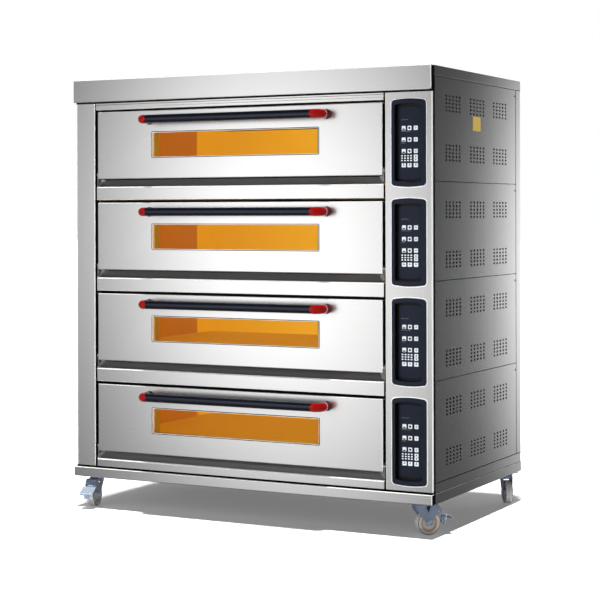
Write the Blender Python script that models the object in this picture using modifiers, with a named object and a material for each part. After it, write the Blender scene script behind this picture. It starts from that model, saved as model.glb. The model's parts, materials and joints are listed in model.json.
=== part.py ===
"""Four-deck electric bakery oven on casters, built for Blender 4.5 as separate named pieces.

Metres throughout. Inside the oven's own frame x runs from its left side, y runs back from the
plane of the doors and z runs up from the floor. The world origin is the floor point under the
centre of the whole object's bounding box.
"""

import math

import bmesh
import bpy
from mathutils import Matrix, Vector

# Driving dimensions of the carcass.
WIDTH = 1.700
DEPTH = 0.991  # from the plane of the doors to the rear cover
HEIGHT = 1.865
SHEET = 0.0015  # stainless sheet
GAP = 0.0003  # clearance between pieces that touch
PROUD = 0.021  # fascia and base band in front of the doors
BAND_BOTTOM = 0.135
BAND_TOP = 0.176
SKIRT_TOP = 0.217
CAP_BOTTOM = 1.825
FASCIA_BOTTOM = 1.768
FASCIA_RETURN = 0.0125  # how far back the fascia's end faces reach
HEADER_BOTTOM = 1.733
SIDE_FRONT = 0.0135  # front edge of the right side panels
REAR_WRAP = 0.060  # rear cover's flange along each side
PANEL_EDGE = 0.013  # folded edge of a side panel

# Decks, numbered from the top. Heights inside a deck count from the bottom edge of its door.
DECKS = (1, 2, 3, 4)
LOWEST_DOOR = 0.249
DECK_PITCH = 0.3945
PANEL_JOINT = -0.025

# Front columns and rails.
STILE = (0.003, 0.098)
COLUMN = (1.4905, 1.698)
COLUMN_LIP = 0.005
COLUMN_WEB = 1.684
RAIL = (0.111, 1.4835)
RAIL_TOP = -0.038
RAIL_BOTTOM = -0.0915
SILL_TOP = -0.004
SILL_BACK = 0.024
EAR_THICK = 0.0025

# Door, with its hinge axis along x near the bottom edge.
DOOR = (0.113, 1.478)
DOOR_HEIGHT = 0.292
DOOR_THICK = 0.025
PLUG = (0.168, 1.423)
PLUG_Z = (0.045, 0.254)
PLUG_BACK = 0.060
PIVOT_Y = 0.012
PIVOT_Z = 0.020
PIN_RADIUS = 0.005
WINDOW = (0.393, 1.193)
WINDOW_Z = (0.092, 0.198)
GLASS_LAP = 0.008  # how far the pane reaches behind the window's edge
GLASS_Y = (0.0033, 0.0083)

# Handle: a black sleeve between two moulded elbows on one tie rod.
LEGS = (0.379, 1.229)
HANDLE_Z = 0.2515
HANDLE_OUT = 0.072
ELBOW_RADIUS = 0.0185
ELBOW_BEND = 0.026
SLEEVE_RADIUS = 0.0175
SLEEVE_BORE = 0.0140
TIE_RADIUS = 0.008
SEAM_INSET = 0.034  # from a leg's axis to the front tip of the slanted joint
SEAM_SLANT = 0.85
COLLAR_RADIUS = 0.0215
COLLAR_THICK = 0.006

# Baking chamber.
CHAMBER = (0.160, 1.430)
CHAMBER_Z = (0.036, 0.262)
CHAMBER_FRONT = 0.040
CHAMBER_BACK = 0.905
FLANGE = (0.105, 1.4845)
FLANGE_Z = (-0.0035, 0.300)
HEARTH = (0.168, 1.422)
HEARTH_TOP = 0.073
HEARTH_Y = (0.080, 0.868)
HEARTH_THICK = 0.004
ELEMENT_RADIUS = 0.0045
ELEMENT_Z = (0.052, 0.246)
TERMINAL = ((0.745, 0.875, 0.042), (0.855, 0.897, 0.256))

# Control panel.
BEZEL_X = 1.5947
BEZEL_Z = 0.128
BEZEL_SIZE = (0.150, 0.350)
BEZEL_BOW = 0.0045
BEZEL_CORNER = 0.015
BEZEL_PROUD = 0.005
RECESS_X = 1.592
RECESS_SIZE = (0.116, 0.314)
RECESS_CORNER = 0.008
KEYPAD_Y = (0.0152, 0.0200)
BEZEL_WALL = 0.002

# Casters: name, swivel axis (x, y) and bearing of the wheel's trail, in degrees from -y to +x.
WHEEL_RADIUS = 0.050
WHEEL_WIDTH = 0.032
WHEEL_SIDES = 24
TRAIL = 0.028
LEFT_INSET = 0.064
RIGHT_INSET = 0.082
REAR_INSET = 0.054
CASTERS = (
    ("front_left", LEFT_INSET, 0.060, 12.0),
    ("front_right", WIDTH - RIGHT_INSET, 0.060, 140.0),
    ("rear_left", REAR_INSET, DEPTH - REAR_INSET, -15.0),
    ("rear_right", WIDTH - REAR_INSET, DEPTH - REAR_INSET, 33.0),
)
PLATE_BOTTOM = 0.131
KINGPIN_RADIUS = 0.008
AXLE_RADIUS = 0.005
FORK_HALF = 0.0215
FORK_SHEET = 0.003
PEDAL_PIVOT = (0.069, 0.094)
PEDAL_TIP = (0.128, 0.066)
PEDAL_HALF = 0.030
PEDAL_TOP = 0.0015  # upper face of the tread plate, above the pivot's axis
PEDAL_SLOPE = math.atan2(PEDAL_PIVOT[1] - PEDAL_TIP[1], PEDAL_TIP[0] - PEDAL_PIVOT[0])

# The bounding box runs from the handles' front to the rear cover, and from the left side to the
# upper corner of the front right pedal.
FRONT_OUT = HANDLE_OUT + ELBOW_RADIUS
PEDAL_BEARING = math.radians(CASTERS[1][3])
PEDAL_REACH = PEDAL_TIP[0] + PEDAL_TOP * math.sin(PEDAL_SLOPE)
PEDAL_OVERHANG = (
    PEDAL_REACH * math.sin(PEDAL_BEARING) - PEDAL_HALF * math.cos(PEDAL_BEARING) - RIGHT_INSET
)
ORIGIN_X = (WIDTH + PEDAL_OVERHANG) / 2
ORIGIN_Y = (DEPTH - FRONT_OUT) / 2


def start_scene():
    """Empties the scene and returns the collection that holds the oven."""
    for obj in list(bpy.data.objects):
        bpy.data.objects.remove(obj)
    collection = bpy.data.collections.new("deck_oven")
    bpy.context.scene.collection.children.link(collection)
    return collection


OVEN = start_scene()


def material(name, colour, roughness, metallic=0.0, alpha=1.0):
    """A Principled material with one colour."""
    result = bpy.data.materials.new(name)
    result.use_nodes = True
    shader = result.node_tree.nodes["Principled BSDF"]
    shader.inputs["Base Color"].default_value = (*colour, 1.0)
    shader.inputs["Roughness"].default_value = roughness
    shader.inputs["Metallic"].default_value = metallic
    shader.inputs["Alpha"].default_value = alpha
    return result


STEEL = (0.62, 0.62, 0.61)
FINISHES = {
    "brushed_stainless": (STEEL, 0.30, 1.0),
    "polished_stainless": ((0.70, 0.70, 0.69), 0.18, 1.0),
    "chamber_steel": ((0.42, 0.36, 0.28), 0.45, 1.0),
    "hearth_plate": ((0.23, 0.22, 0.21), 0.60, 1.0),
    "element": ((0.11, 0.10, 0.10), 0.55, 1.0),
    "tempered_glass": ((0.80, 0.50, 0.18), 0.05, 0.0, 0.35),
    "black_grip": ((0.012, 0.012, 0.016), 0.35),
    "red_moulding": ((0.55, 0.010, 0.010), 0.22),
    "navy_bezel": ((0.012, 0.014, 0.026), 0.32),
    "keypad_film": ((0.020, 0.022, 0.030), 0.40),
    "zinc_plate": ((0.42, 0.46, 0.52), 0.35, 1.0),
    "caster_tread": ((0.62, 0.62, 0.60), 0.50),
}


def empty(name, location, parent=None, turn=0.0):
    """A bare frame that carries pieces; turn is about the vertical."""
    frame = bpy.data.objects.new(name, None)
    frame.location = location
    frame.rotation_euler.z = turn
    frame.parent = parent
    OVEN.objects.link(frame)
    return frame


def piece(name, mesh, finish, parent, location=(0.0, 0.0, 0.0)):
    """A finished part of the oven, with its own material."""
    mesh.shade_smooth()
    mesh.set_sharp_from_angle(angle=math.radians(30))
    obj = bpy.data.objects.new(name, mesh)
    obj.parent = parent
    obj.location = location
    OVEN.objects.link(obj)
    obj.data.materials.clear()
    obj.data.materials.append(None)
    obj.material_slots[0].link = "OBJECT"
    obj.material_slots[0].material = material(name, *FINISHES[finish])
    return obj


# Mesh tools. Each returns a closed mesh in the frame that its numbers are given in.


def helper(data):
    """A short-lived object for modifiers and curves."""
    obj = bpy.data.objects.new("helper", data)
    bpy.context.scene.collection.objects.link(obj)
    return obj


def settled(obj):
    """The object's mesh with its modifiers applied. The object is removed."""
    bpy.context.view_layer.update()
    shown = obj.evaluated_get(bpy.context.evaluated_depsgraph_get())
    mesh = bpy.data.meshes.new_from_object(shown)
    bpy.data.objects.remove(obj)
    return mesh


def welded(mesh):
    """The mesh with loose caps joined and its faces pointing out."""
    bm = bmesh.new()
    bm.from_mesh(mesh)
    bmesh.ops.remove_doubles(bm, verts=bm.verts, dist=0.00001)
    bmesh.ops.recalc_face_normals(bm, faces=bm.faces)
    bm.to_mesh(mesh)
    bm.free()
    return mesh


def combined(mesh, others, operation):
    """The mesh joined with, or cut by, each of the others."""
    target = helper(mesh)
    tools = [helper(other) for other in others]
    for tool in tools:
        boolean = target.modifiers.new("boolean", "BOOLEAN")
        boolean.operation = operation
        boolean.solver = "EXACT"
        boolean.object = tool
    result = settled(target)
    for tool in tools:
        bpy.data.objects.remove(tool)
    return result


def joined(mesh, *others):
    return combined(mesh, others, "UNION")


def cut(mesh, *others):
    return combined(mesh, others, "DIFFERENCE")


def block(low, high):
    """A box between two corners."""
    low, high = Vector(low), Vector(high)
    bm = bmesh.new()
    place = Matrix.Translation((low + high) / 2) @ Matrix.Diagonal((*(high - low), 1.0))
    bmesh.ops.create_cube(bm, size=1.0, matrix=place)
    mesh = bpy.data.meshes.new("block")
    bm.to_mesh(mesh)
    bm.free()
    return mesh


def rod(start, end, radius, sides=12):
    """A round bar between two points."""
    start, end = Vector(start), Vector(end)
    along = end - start
    place = Matrix.Translation((start + end) / 2) @ along.to_track_quat("Z", "X").to_matrix().to_4x4()
    bm = bmesh.new()
    bmesh.ops.create_cone(
        bm, cap_ends=True, segments=sides, radius1=radius, radius2=radius, depth=along.length, matrix=place
    )
    mesh = bpy.data.meshes.new("rod")
    bm.to_mesh(mesh)
    bm.free()
    return mesh


def folded(path, axis, start, end, thickness=SHEET):
    """Sheet metal bent along a path in the plane across the axis, lying to the right of the path."""
    place = {
        "X": lambda u, v, w: (w, u, v),
        "Y": lambda u, v, w: (v, w, u),
        "Z": lambda u, v, w: (u, v, w),
    }[axis]
    bm = bmesh.new()
    points = [bm.verts.new(place(u, v, start)) for u, v in path]
    edges = [bm.edges.new(pair) for pair in zip(points, points[1:])]
    swept = bmesh.ops.extrude_edge_only(bm, edges=edges)["geom"]
    moved = [item for item in swept if isinstance(item, bmesh.types.BMVert)]
    bmesh.ops.translate(bm, verts=moved, vec=place(0.0, 0.0, end - start))
    mesh = bpy.data.meshes.new("folded")
    bm.to_mesh(mesh)
    bm.free()
    obj = helper(mesh)
    shell = obj.modifiers.new("shell", "SOLIDIFY")
    shell.thickness = thickness
    shell.offset = -1.0
    shell.use_even_offset = True
    return welded(settled(obj))


def plate(outline, near, far, normal="Y"):
    """A flat outline with thickness, from a filled 2D curve. near and far are along its normal.

    The outline is in (x, z) when the normal is Y, and in (y, z) when it is X.
    """
    curve = bpy.data.curves.new("plate", "CURVE")
    curve.dimensions = "2D"
    curve.fill_mode = "BOTH"
    curve.extrude = abs(far - near) / 2
    spline = curve.splines.new("POLY")
    spline.points.add(len(outline) - 1)
    for point, (u, v) in zip(spline.points, outline):
        point.co = (u, v, 0.0, 1.0)
    spline.use_cyclic_u = True
    mesh = settled(helper(curve))
    mesh.transform(Matrix.Translation((0.0, 0.0, (near + far) / 2)))
    columns = {"Y": ((1, 0, 0), (0, 0, 1), (0, 1, 0)), "X": ((0, 0, 1), (1, 0, 0), (0, 1, 0))}[normal]
    mesh.transform(Matrix(columns).to_4x4())
    return welded(mesh)


def tube(points, radius, resolution=3):
    """A round bar bent along a path of points."""
    curve = bpy.data.curves.new("tube", "CURVE")
    curve.dimensions = "3D"
    curve.bevel_depth = radius
    curve.bevel_resolution = resolution
    curve.use_fill_caps = True
    spline = curve.splines.new("POLY")
    spline.points.add(len(points) - 1)
    for point, place in zip(spline.points, points):
        point.co = (*place, 1.0)
    return welded(settled(helper(curve)))


def turned(profile, sides):
    """A profile of (radius, height) pairs, listed down its outer side, turned about z."""
    bm = bmesh.new()
    verts = [bm.verts.new((radius, 0.0, height)) for radius, height in profile]
    for pair in zip(verts, verts[1:] + verts[:1]):
        bm.edges.new(pair)
    mesh = bpy.data.meshes.new("turned")
    bm.to_mesh(mesh)
    bm.free()
    obj = helper(mesh)
    screw = obj.modifiers.new("screw", "SCREW")
    screw.steps = sides
    screw.render_steps = sides
    screw.use_merge_vertices = True
    screw.merge_threshold = 0.00001
    return welded(settled(obj))


def arc(centre, radius, start, end, steps):
    """Points on an arc, with angles in degrees."""
    angles = [math.radians(start + (end - start) * i / steps) for i in range(steps + 1)]
    return [(centre[0] + radius * math.cos(a), centre[1] + radius * math.sin(a)) for a in angles]


def bowed_outline(centre, size, corner, bow=0.0, grow=0.0, steps=3):
    """A rounded rectangle whose top and bottom edges swell outwards by bow."""
    half_u, half_v = size[0] / 2 + grow, size[1] / 2 + grow - bow
    points = []
    for turn, (side_u, side_v) in enumerate(((1, 1), (-1, 1), (-1, -1), (1, -1))):
        middle = (centre[0] + side_u * (half_u - corner), centre[1] + side_v * (half_v - corner))
        points += arc(middle, corner, turn * 90, turn * 90 + 90, steps)
        if turn in (0, 2) and bow:
            flat = half_u - corner
            for i in (-2, -1, 0, 1, 2):
                u = -side_u * i / 3 * flat
                points.append((centre[0] + u, centre[1] + side_v * (half_v + bow * (1 - (u / flat) ** 2))))
    return points


# The carcass.


def base_frame(parent):
    """Folded base: band and tray, upstanding skirts, and a pad and plate over each caster."""
    t = 0.002
    mesh = cut(
        block((0, -PROUD, BAND_BOTTOM), (WIDTH, DEPTH, BAND_TOP)),
        block((t, t - PROUD, BAND_BOTTOM - t), (WIDTH - t, DEPTH - t, BAND_TOP - t)),
    )
    skirts = folded(
        [(0.0015, SIDE_FRONT), (0.0015, DEPTH), (WIDTH - 0.0015, DEPTH), (WIDTH - 0.0015, SIDE_FRONT)],
        "Z", BAND_TOP - t / 2, SKIRT_TOP,
    )
    pads, plates, holes = [], [], []
    pad = 0.118
    low, high = BAND_BOTTOM + 0.0006, BAND_BOTTOM + 0.0046
    for _, x, y, _ in CASTERS:
        left = t / 2 if x < WIDTH / 2 else WIDTH - pad - t / 2
        front = t / 2 - PROUD if y < DEPTH / 2 else DEPTH - pad - t / 2
        pads.append(block((left, front, low), (left + pad, front + pad, high)))
        plates.append(block((x - 0.048, y - 0.042, PLATE_BOTTOM), (x + 0.048, y + 0.042, BAND_BOTTOM + t)))
        holes.append(rod((x, y, PLATE_BOTTOM - t), (x, y, BAND_BOTTOM + 0.01), KINGPIN_RADIUS + 0.0008, 16))
    mesh = cut(joined(mesh, skirts, *pads, *plates), *holes)
    piece("base_frame", mesh, "brushed_stainless", parent)


def top_cover(parent):
    """Roof with turned-down edges, the front fascia with its end faces, and the header under it."""
    t = SHEET
    outer = [
        (-PROUD, FASCIA_BOTTOM), (-PROUD, HEIGHT), (DEPTH, HEIGHT), (DEPTH, CAP_BOTTOM),
        (FASCIA_RETURN, CAP_BOTTOM), (FASCIA_RETURN, FASCIA_BOTTOM),
    ]
    inner = [
        (t - PROUD, FASCIA_BOTTOM + t), (t - PROUD, HEIGHT - t),
        (DEPTH - t, HEIGHT - t), (DEPTH - t, CAP_BOTTOM - t),
        (FASCIA_RETURN + t, CAP_BOTTOM - t), (FASCIA_RETURN + t, FASCIA_BOTTOM + t),
    ]
    shell = cut(plate(outer, 0.0, WIDTH, "X"), plate(inner, t, WIDTH - t, "X"))
    header = block((RAIL[0] - 0.006, 0, HEADER_BOTTOM), (RAIL[1], t, FASCIA_BOTTOM + t / 2))
    piece("top_cover", joined(shell, header), "brushed_stainless", parent)


def left_stile(parent):
    low, high = STILE
    path = [(high, 0.034), (high, 0.0), (low, 0.0), (low, 0.040)]
    mesh = folded(path, "Z", BAND_TOP + GAP, FASCIA_BOTTOM - GAP)
    piece("left_stile", mesh, "brushed_stainless", parent)


def control_column(parent):
    """Channel beside the doors, with a cut-out for each control panel."""
    left, right = COLUMN
    path = [
        (COLUMN_WEB, 0.036), (COLUMN_WEB, COLUMN_LIP), (right, COLUMN_LIP),
        (right, 0.0), (left, 0.0), (left, 0.034),
    ]
    mesh = folded(path, "Z", BAND_TOP + GAP, FASCIA_BOTTOM - GAP)
    windows = []
    for deck in DECKS:
        centre = (RECESS_X, door_bottom(deck) + BEZEL_Z)
        outline = bowed_outline(centre, RECESS_SIZE, RECESS_CORNER, BEZEL_BOW, BEZEL_WALL + 0.0005)
        windows.append(plate(outline, -0.002, 0.004))
    piece("control_column", cut(mesh, *windows), "brushed_stainless", parent)


def rear_cover(parent):
    """Rear sheet wrapped round both corners, with the mains cable entry."""
    left, right, back = 0.0015, WIDTH - 0.0015, DEPTH
    front = DEPTH - REAR_WRAP
    path = [(left, front), (left, back), (right, back), (right, front)]
    mesh = folded(path, "Z", SKIRT_TOP + GAP, CAP_BOTTOM - GAP)
    entry = rod((1.54, DEPTH - 0.01, 0.300), (1.54, DEPTH + 0.01, 0.300), 0.018, 20)
    piece("rear_cover", cut(mesh, entry), "brushed_stainless", parent)


def side_panel(name, inner, outer, front, low, high, parent):
    """Flat panel with its front and rear edges folded in; outer is the face that shows."""
    rear = DEPTH - REAR_WRAP - 0.0007
    path = [(front, inner), (front, outer), (rear, outer), (rear, inner)]
    if outer > inner:
        path.reverse()
    mesh = folded([(x, y) for y, x in path], "Z", low, high)
    piece(name, mesh, "brushed_stainless", parent)


def side_panels(parent):
    low, high = SKIRT_TOP + GAP, CAP_BOTTOM - GAP
    side_panel("left_side_panel", 0.0015 + PANEL_EDGE, 0.0015, 0.0408, low, high, parent)
    joints = [high] + [door_bottom(deck) + PANEL_JOINT for deck in DECKS[:-1]] + [low]
    outer = WIDTH - 0.0015
    for deck, top, bottom in zip(DECKS, joints, joints[1:]):
        name = f"right_side_panel_{deck}"
        side_panel(name, outer - PANEL_EDGE, outer, SIDE_FRONT, bottom + GAP, top - GAP, parent)


# One deck. Heights are from the bottom edge of its door.


def door_bottom(deck):
    return LOWEST_DOOR + (DECKS[-1] - deck) * DECK_PITCH


def deck_rail(deck, frame):
    """Rail under a door with its sloping sill, and an upright ear at each end for the hinge pin."""
    bottom = RAIL_BOTTOM
    if deck == DECKS[-1]:
        bottom = BAND_TOP + 0.004 - door_bottom(deck)
    back = CHAMBER_FRONT - 0.0008
    path = [
        (0.030, bottom), (0.0, bottom), (0.0, RAIL_TOP), (SILL_BACK, SILL_TOP),
        (back, SILL_TOP), (back, SILL_TOP - 0.020),
    ]
    mesh = folded(path, "X", *RAIL)
    ears, holes = [], []
    for inner, away in ((DOOR[0] - 0.0015, -EAR_THICK), (DOOR[1] + 0.0020, EAR_THICK)):
        x = sorted((inner, inner + away))
        ears.append(block((x[0], 0.004, -0.030), (x[1], back, 0.034)))
        start, end = (x[0] - 0.01, PIVOT_Y, PIVOT_Z), (x[1] + 0.01, PIVOT_Y, PIVOT_Z)
        holes.append(rod(start, end, PIN_RADIUS + 0.0007))
    piece(f"deck_rail_{deck}", cut(joined(mesh, *ears), *holes), "brushed_stainless", frame)


def chamber(deck, frame):
    """Open-fronted steel liner with a flange round its mouth."""
    t = SHEET
    flange = block((FLANGE[0], CHAMBER_FRONT, FLANGE_Z[0]), (FLANGE[1], CHAMBER_FRONT + t, FLANGE_Z[1]))
    shell = block(
        (CHAMBER[0] - t, CHAMBER_FRONT + t / 2, CHAMBER_Z[0] - t),
        (CHAMBER[1] + t, CHAMBER_BACK + t, CHAMBER_Z[1] + t),
    )
    hollow = block((CHAMBER[0], CHAMBER_FRONT - t, CHAMBER_Z[0]), (CHAMBER[1], CHAMBER_BACK, CHAMBER_Z[1]))
    piece(f"chamber_{deck}", cut(joined(flange, shell), hollow), "chamber_steel", frame)


def hearth(deck, frame):
    """Baking plate on two folded legs."""
    foot = CHAMBER_Z[0] + 0.0005
    path = [(foot, HEARTH[1]), (HEARTH_TOP, HEARTH[1]), (HEARTH_TOP, HEARTH[0]), (foot, HEARTH[0])]
    piece(f"hearth_{deck}", folded(path, "Y", *HEARTH_Y, HEARTH_THICK), "hearth_plate", frame)


def heater(deck, frame):
    """Upper and lower tubular elements on one terminal block at the back."""
    back, front, middle = 0.886, 0.140, 0.760
    bends = (
        (0.80, back), (0.26, back), (0.26, front), (0.62, front), (0.62, middle),
        (0.98, middle), (0.98, front), (1.34, front), (1.34, back), (0.80, back + 0.001),
    )
    levels = [tube([(x, y, z) for x, y in bends], ELEMENT_RADIUS, 1) for z in ELEMENT_Z]
    piece(f"heater_{deck}", joined(block(*TERMINAL), *levels), "element", frame)


def door_mesh():
    """Hollow door: outer pan, inner plug, window tunnel, vent slots and two hinge pins."""
    t = SHEET
    pan = block((DOOR[0], 0, 0), (DOOR[1], DOOR_THICK, DOOR_HEIGHT))
    plug = block((PLUG[0], DOOR_THICK - t, PLUG_Z[0]), (PLUG[1], PLUG_BACK, PLUG_Z[1]))
    pins = [
        rod((DOOR[0] - 0.010, PIVOT_Y, PIVOT_Z), (DOOR[0] + t / 2, PIVOT_Y, PIVOT_Z), PIN_RADIUS),
        rod((DOOR[1] - t / 2, PIVOT_Y, PIVOT_Z), (DOOR[1] + 0.0105, PIVOT_Y, PIVOT_Z), PIN_RADIUS),
    ]
    lap, rim = GLASS_LAP, GLASS_LAP + t
    tunnel = block(
        (WINDOW[0] - rim, -t, WINDOW_Z[0] - rim), (WINDOW[1] + rim, PLUG_BACK + t, WINDOW_Z[1] + rim)
    )
    pan_hollow = block((DOOR[0] + t, t, t), (DOOR[1] - t, DOOR_THICK - t, DOOR_HEIGHT - t))
    plug_hollow = block(
        (PLUG[0] + t, DOOR_THICK - 2 * t, PLUG_Z[0] + t), (PLUG[1] - t, PLUG_BACK - t, PLUG_Z[1] - t)
    )
    hollow = cut(joined(pan_hollow, plug_hollow), tunnel)
    opening = block((WINDOW[0], -t, WINDOW_Z[0]), (WINDOW[1], DOOR_THICK, WINDOW_Z[1]))
    seat = block(
        (WINDOW[0] - lap, GLASS_Y[0] - GAP, WINDOW_Z[0] - lap),
        (WINDOW[1] + lap, PLUG_BACK + t, WINDOW_Z[1] + lap),
    )
    slots = [block((x, 0.008, -t), (x + 0.090, 0.014, 2 * t)) for x in (0.300, 0.7505, 1.201)]
    return cut(joined(pan, plug, *pins), hollow, opening, seat, *slots)


def glass_mesh():
    lap = GLASS_LAP - 0.0005
    low = (WINDOW[0] - lap, GLASS_Y[0], WINDOW_Z[0] - lap)
    high = (WINDOW[1] + lap, GLASS_Y[1], WINDOW_Z[1] + lap)
    return block(low, high)


def slanted(mesh, reach):
    """Shears the ends of a bar along x, so that each end leans back from its front tip."""
    middle = sum(LEGS) / 2
    for vertex in mesh.vertices:
        side = 1 if vertex.co.x > middle else -1
        lean = SEAM_SLANT * (vertex.co.y + HANDLE_OUT + SLEEVE_RADIUS)
        vertex.co.x = middle + side * (reach + lean)
    return mesh


def sleeve_mesh():
    """Black grip tube with slanted ends."""
    reach = (LEGS[1] - LEGS[0]) / 2 - SEAM_INSET
    start, end = (LEGS[0], -HANDLE_OUT, HANDLE_Z), (LEGS[1], -HANDLE_OUT, HANDLE_Z)
    return cut(
        slanted(rod(start, end, SLEEVE_RADIUS, 20), reach), rod(start, end, SLEEVE_BORE, 16)
    )


def elbow_path(leg, side):
    """From the door out along a leg and round into the grip; side is +1 towards larger x."""
    turn = (leg + side * ELBOW_BEND, ELBOW_BEND - HANDLE_OUT)
    start, end = (180, 270) if side > 0 else (0, -90)
    bend = arc(turn, ELBOW_BEND, start, end, 4)
    mouth = (leg + side * (ELBOW_BEND + 0.012), -HANDLE_OUT)
    return [(x, y, HANDLE_Z) for x, y in [(leg, -GAP), *bend, mouth]]


def bracket_mesh():
    """Both red elbows with their collars, on the tie rod that runs inside the sleeve."""
    elbows = [tube(elbow_path(leg, side), ELBOW_RADIUS) for leg, side in zip(LEGS, (1, -1))]
    reach = (LEGS[1] - LEGS[0]) / 2 - SEAM_INSET + GAP
    start, end = (LEGS[0], -HANDLE_OUT, HANDLE_Z), (LEGS[1], -HANDLE_OUT, HANDLE_Z)
    space = slanted(rod(start, end, ELBOW_RADIUS + 0.0004, 20), reach)
    collars = [
        rod((leg, -GAP, HANDLE_Z), (leg, -COLLAR_THICK, HANDLE_Z), COLLAR_RADIUS, 16) for leg in LEGS
    ]
    tie = rod(start, end, TIE_RADIUS, 8)
    trimmed = [cut(elbow, space) for elbow in elbows]
    return joined(tie, *trimmed, *collars)


def bezel_mesh():
    """Panel frame: a flange on the column, walls through the cut-out and a lip behind the keypad."""
    inner = (RECESS_X, BEZEL_Z)
    flange = plate(
        bowed_outline((BEZEL_X, BEZEL_Z), BEZEL_SIZE, BEZEL_CORNER, BEZEL_BOW), -BEZEL_PROUD, -GAP
    )
    walls = plate(
        bowed_outline(inner, RECESS_SIZE, RECESS_CORNER, BEZEL_BOW, BEZEL_WALL), -0.002, KEYPAD_Y[1] + 0.002
    )
    recess = plate(
        bowed_outline(inner, RECESS_SIZE, RECESS_CORNER, BEZEL_BOW), -0.010, KEYPAD_Y[1] + GAP
    )
    back = plate(
        bowed_outline(inner, RECESS_SIZE, RECESS_CORNER, BEZEL_BOW, -0.005),
        KEYPAD_Y[1] - 0.001,
        KEYPAD_Y[1] + 0.004,
    )
    return cut(joined(flange, walls), recess, back)


def keypad_mesh():
    outline = bowed_outline((RECESS_X, BEZEL_Z), RECESS_SIZE, RECESS_CORNER, BEZEL_BOW, -0.0005)
    return plate(outline, *KEYPAD_Y)


def decks(parent):
    """Every deck's fixed pieces, and its door pieces on a frame that lies on the hinge axis."""
    door, glass, sleeve, bracket = door_mesh(), glass_mesh(), sleeve_mesh(), bracket_mesh()
    bezel, keypad = bezel_mesh(), keypad_mesh()
    from_pivot = (0.0, -PIVOT_Y, -PIVOT_Z)
    for deck in DECKS:
        frame = empty(f"deck_{deck}", (0.0, 0.0, door_bottom(deck)), parent)
        for build in (deck_rail, chamber, hearth, heater):
            build(deck, frame)
        piece(f"control_bezel_{deck}", bezel.copy(), "navy_bezel", frame)
        piece(f"keypad_{deck}", keypad.copy(), "keypad_film", frame)
        hinge = empty(f"door_hinge_{deck}", (0.0, PIVOT_Y, PIVOT_Z), frame)
        piece(f"door_{deck}", door.copy(), "polished_stainless", hinge, from_pivot)
        piece(f"door_glass_{deck}", glass.copy(), "tempered_glass", hinge, from_pivot)
        piece(f"handle_tube_{deck}", sleeve.copy(), "black_grip", hinge, from_pivot)
        piece(f"handle_bracket_{deck}", bracket.copy(), "red_moulding", hinge, from_pivot)


# Casters. Each is built with its swivel axis on z and its wheel trailing towards +x.


def fork_mesh(braked):
    """Swivel head, yoke with two cheeks, kingpin with its nut, and the axle between the cheeks."""
    head = rod((0, 0, 0.1195), (0, 0, PLATE_BOTTOM - GAP), 0.030, 20)
    crown_end = 0.060 if braked else 0.045
    crown = block((-0.027, 0.0005 - FORK_HALF, 0.1160), (crown_end, FORK_HALF - 0.0005, 0.1212))
    axle_height = WHEEL_RADIUS
    foot = arc((TRAIL, axle_height), 0.013, 200, 340, 4)
    if braked:
        back = [(0.052, 0.076), (0.076, 0.086), (0.079, 0.101), (0.064, 0.1200)]
    else:
        back = [(0.046, 0.1200)]
    outline = [(-0.028, 0.1200), (-0.026, 0.108), *foot, *back]
    cheeks = [
        plate(outline, near, near + FORK_SHEET) for near in (-FORK_HALF, FORK_HALF - FORK_SHEET)
    ]
    kingpin = rod((0, 0, 0.1180), (0, 0, 0.1470), KINGPIN_RADIUS, 12)
    nut = rod((0, 0, BAND_BOTTOM + 0.0050), (0, 0, 0.1490), 0.0135, 6)
    reach = FORK_HALF + 0.005
    axle = rod((TRAIL, -reach, axle_height), (TRAIL, reach, axle_height), AXLE_RADIUS, 12)
    parts = [crown, *cheeks, kingpin, nut, axle]
    for side in (-1, 1):
        start = (TRAIL, side * (FORK_HALF - 0.001), axle_height)
        parts.append(rod(start, (TRAIL, side * (reach + 0.001), axle_height), 0.009, 6))
    if braked:
        pin = [(PEDAL_PIVOT[0], side * (FORK_HALF + 0.002), PEDAL_PIVOT[1]) for side in (-1, 1)]
        parts.append(rod(*pin, 0.003, 8))
    return joined(head, *parts)


def wheel_mesh():
    """Tyre and hub in one turned ring, spinning about y, with a flat facet on the floor."""
    half, r = WHEEL_WIDTH / 2, WHEEL_RADIUS / math.cos(math.pi / WHEEL_SIDES)
    hub, bore = half + 0.0015, (AXLE_RADIUS + 0.0004) / math.cos(math.pi / WHEEL_SIDES)
    profile = [
        (bore, hub), (0.015, hub), (0.017, half - 0.006),
        (0.034, half - 0.006), (0.036, half), (r - 0.004, half),
        (r, half - 0.006), (r, 0.006 - half), (r - 0.004, -half), (0.036, -half), (0.034, 0.006 - half),
        (0.017, 0.006 - half), (0.015, -hub), (bore, -hub),
    ]
    mesh = turned(profile, WHEEL_SIDES)
    mesh.transform(Matrix.Rotation(math.radians(90), 4, "X") @ Matrix.Rotation(math.pi / WHEEL_SIDES, 4, "Z"))
    return mesh


def pedal_mesh():
    """Brake pedal about its pivot: a knuckle, a wide tread plate and a short brake shoe."""
    reach = math.dist(PEDAL_PIVOT, PEDAL_TIP)
    inner = FORK_HALF - FORK_SHEET - 0.0015
    knuckle = rod((0, -inner, 0), (0, inner, 0), 0.0060, 12)
    arm = block((0.0, -inner, -0.0012), (0.026, inner, PEDAL_TOP - 0.0002))
    tread = block((0.016, -PEDAL_HALF, -0.0010), (reach, PEDAL_HALF, PEDAL_TOP))
    shoe = block((-0.003, -0.010, -0.0085), (0.003, 0.010, -0.003))
    bore = rod((0, -PEDAL_HALF, 0), (0, PEDAL_HALF, 0), 0.0036, 12)
    mesh = cut(joined(knuckle, arm, tread, shoe), bore)
    mesh.transform(Matrix.Rotation(PEDAL_SLOPE, 4, "Y"))
    return mesh


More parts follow.
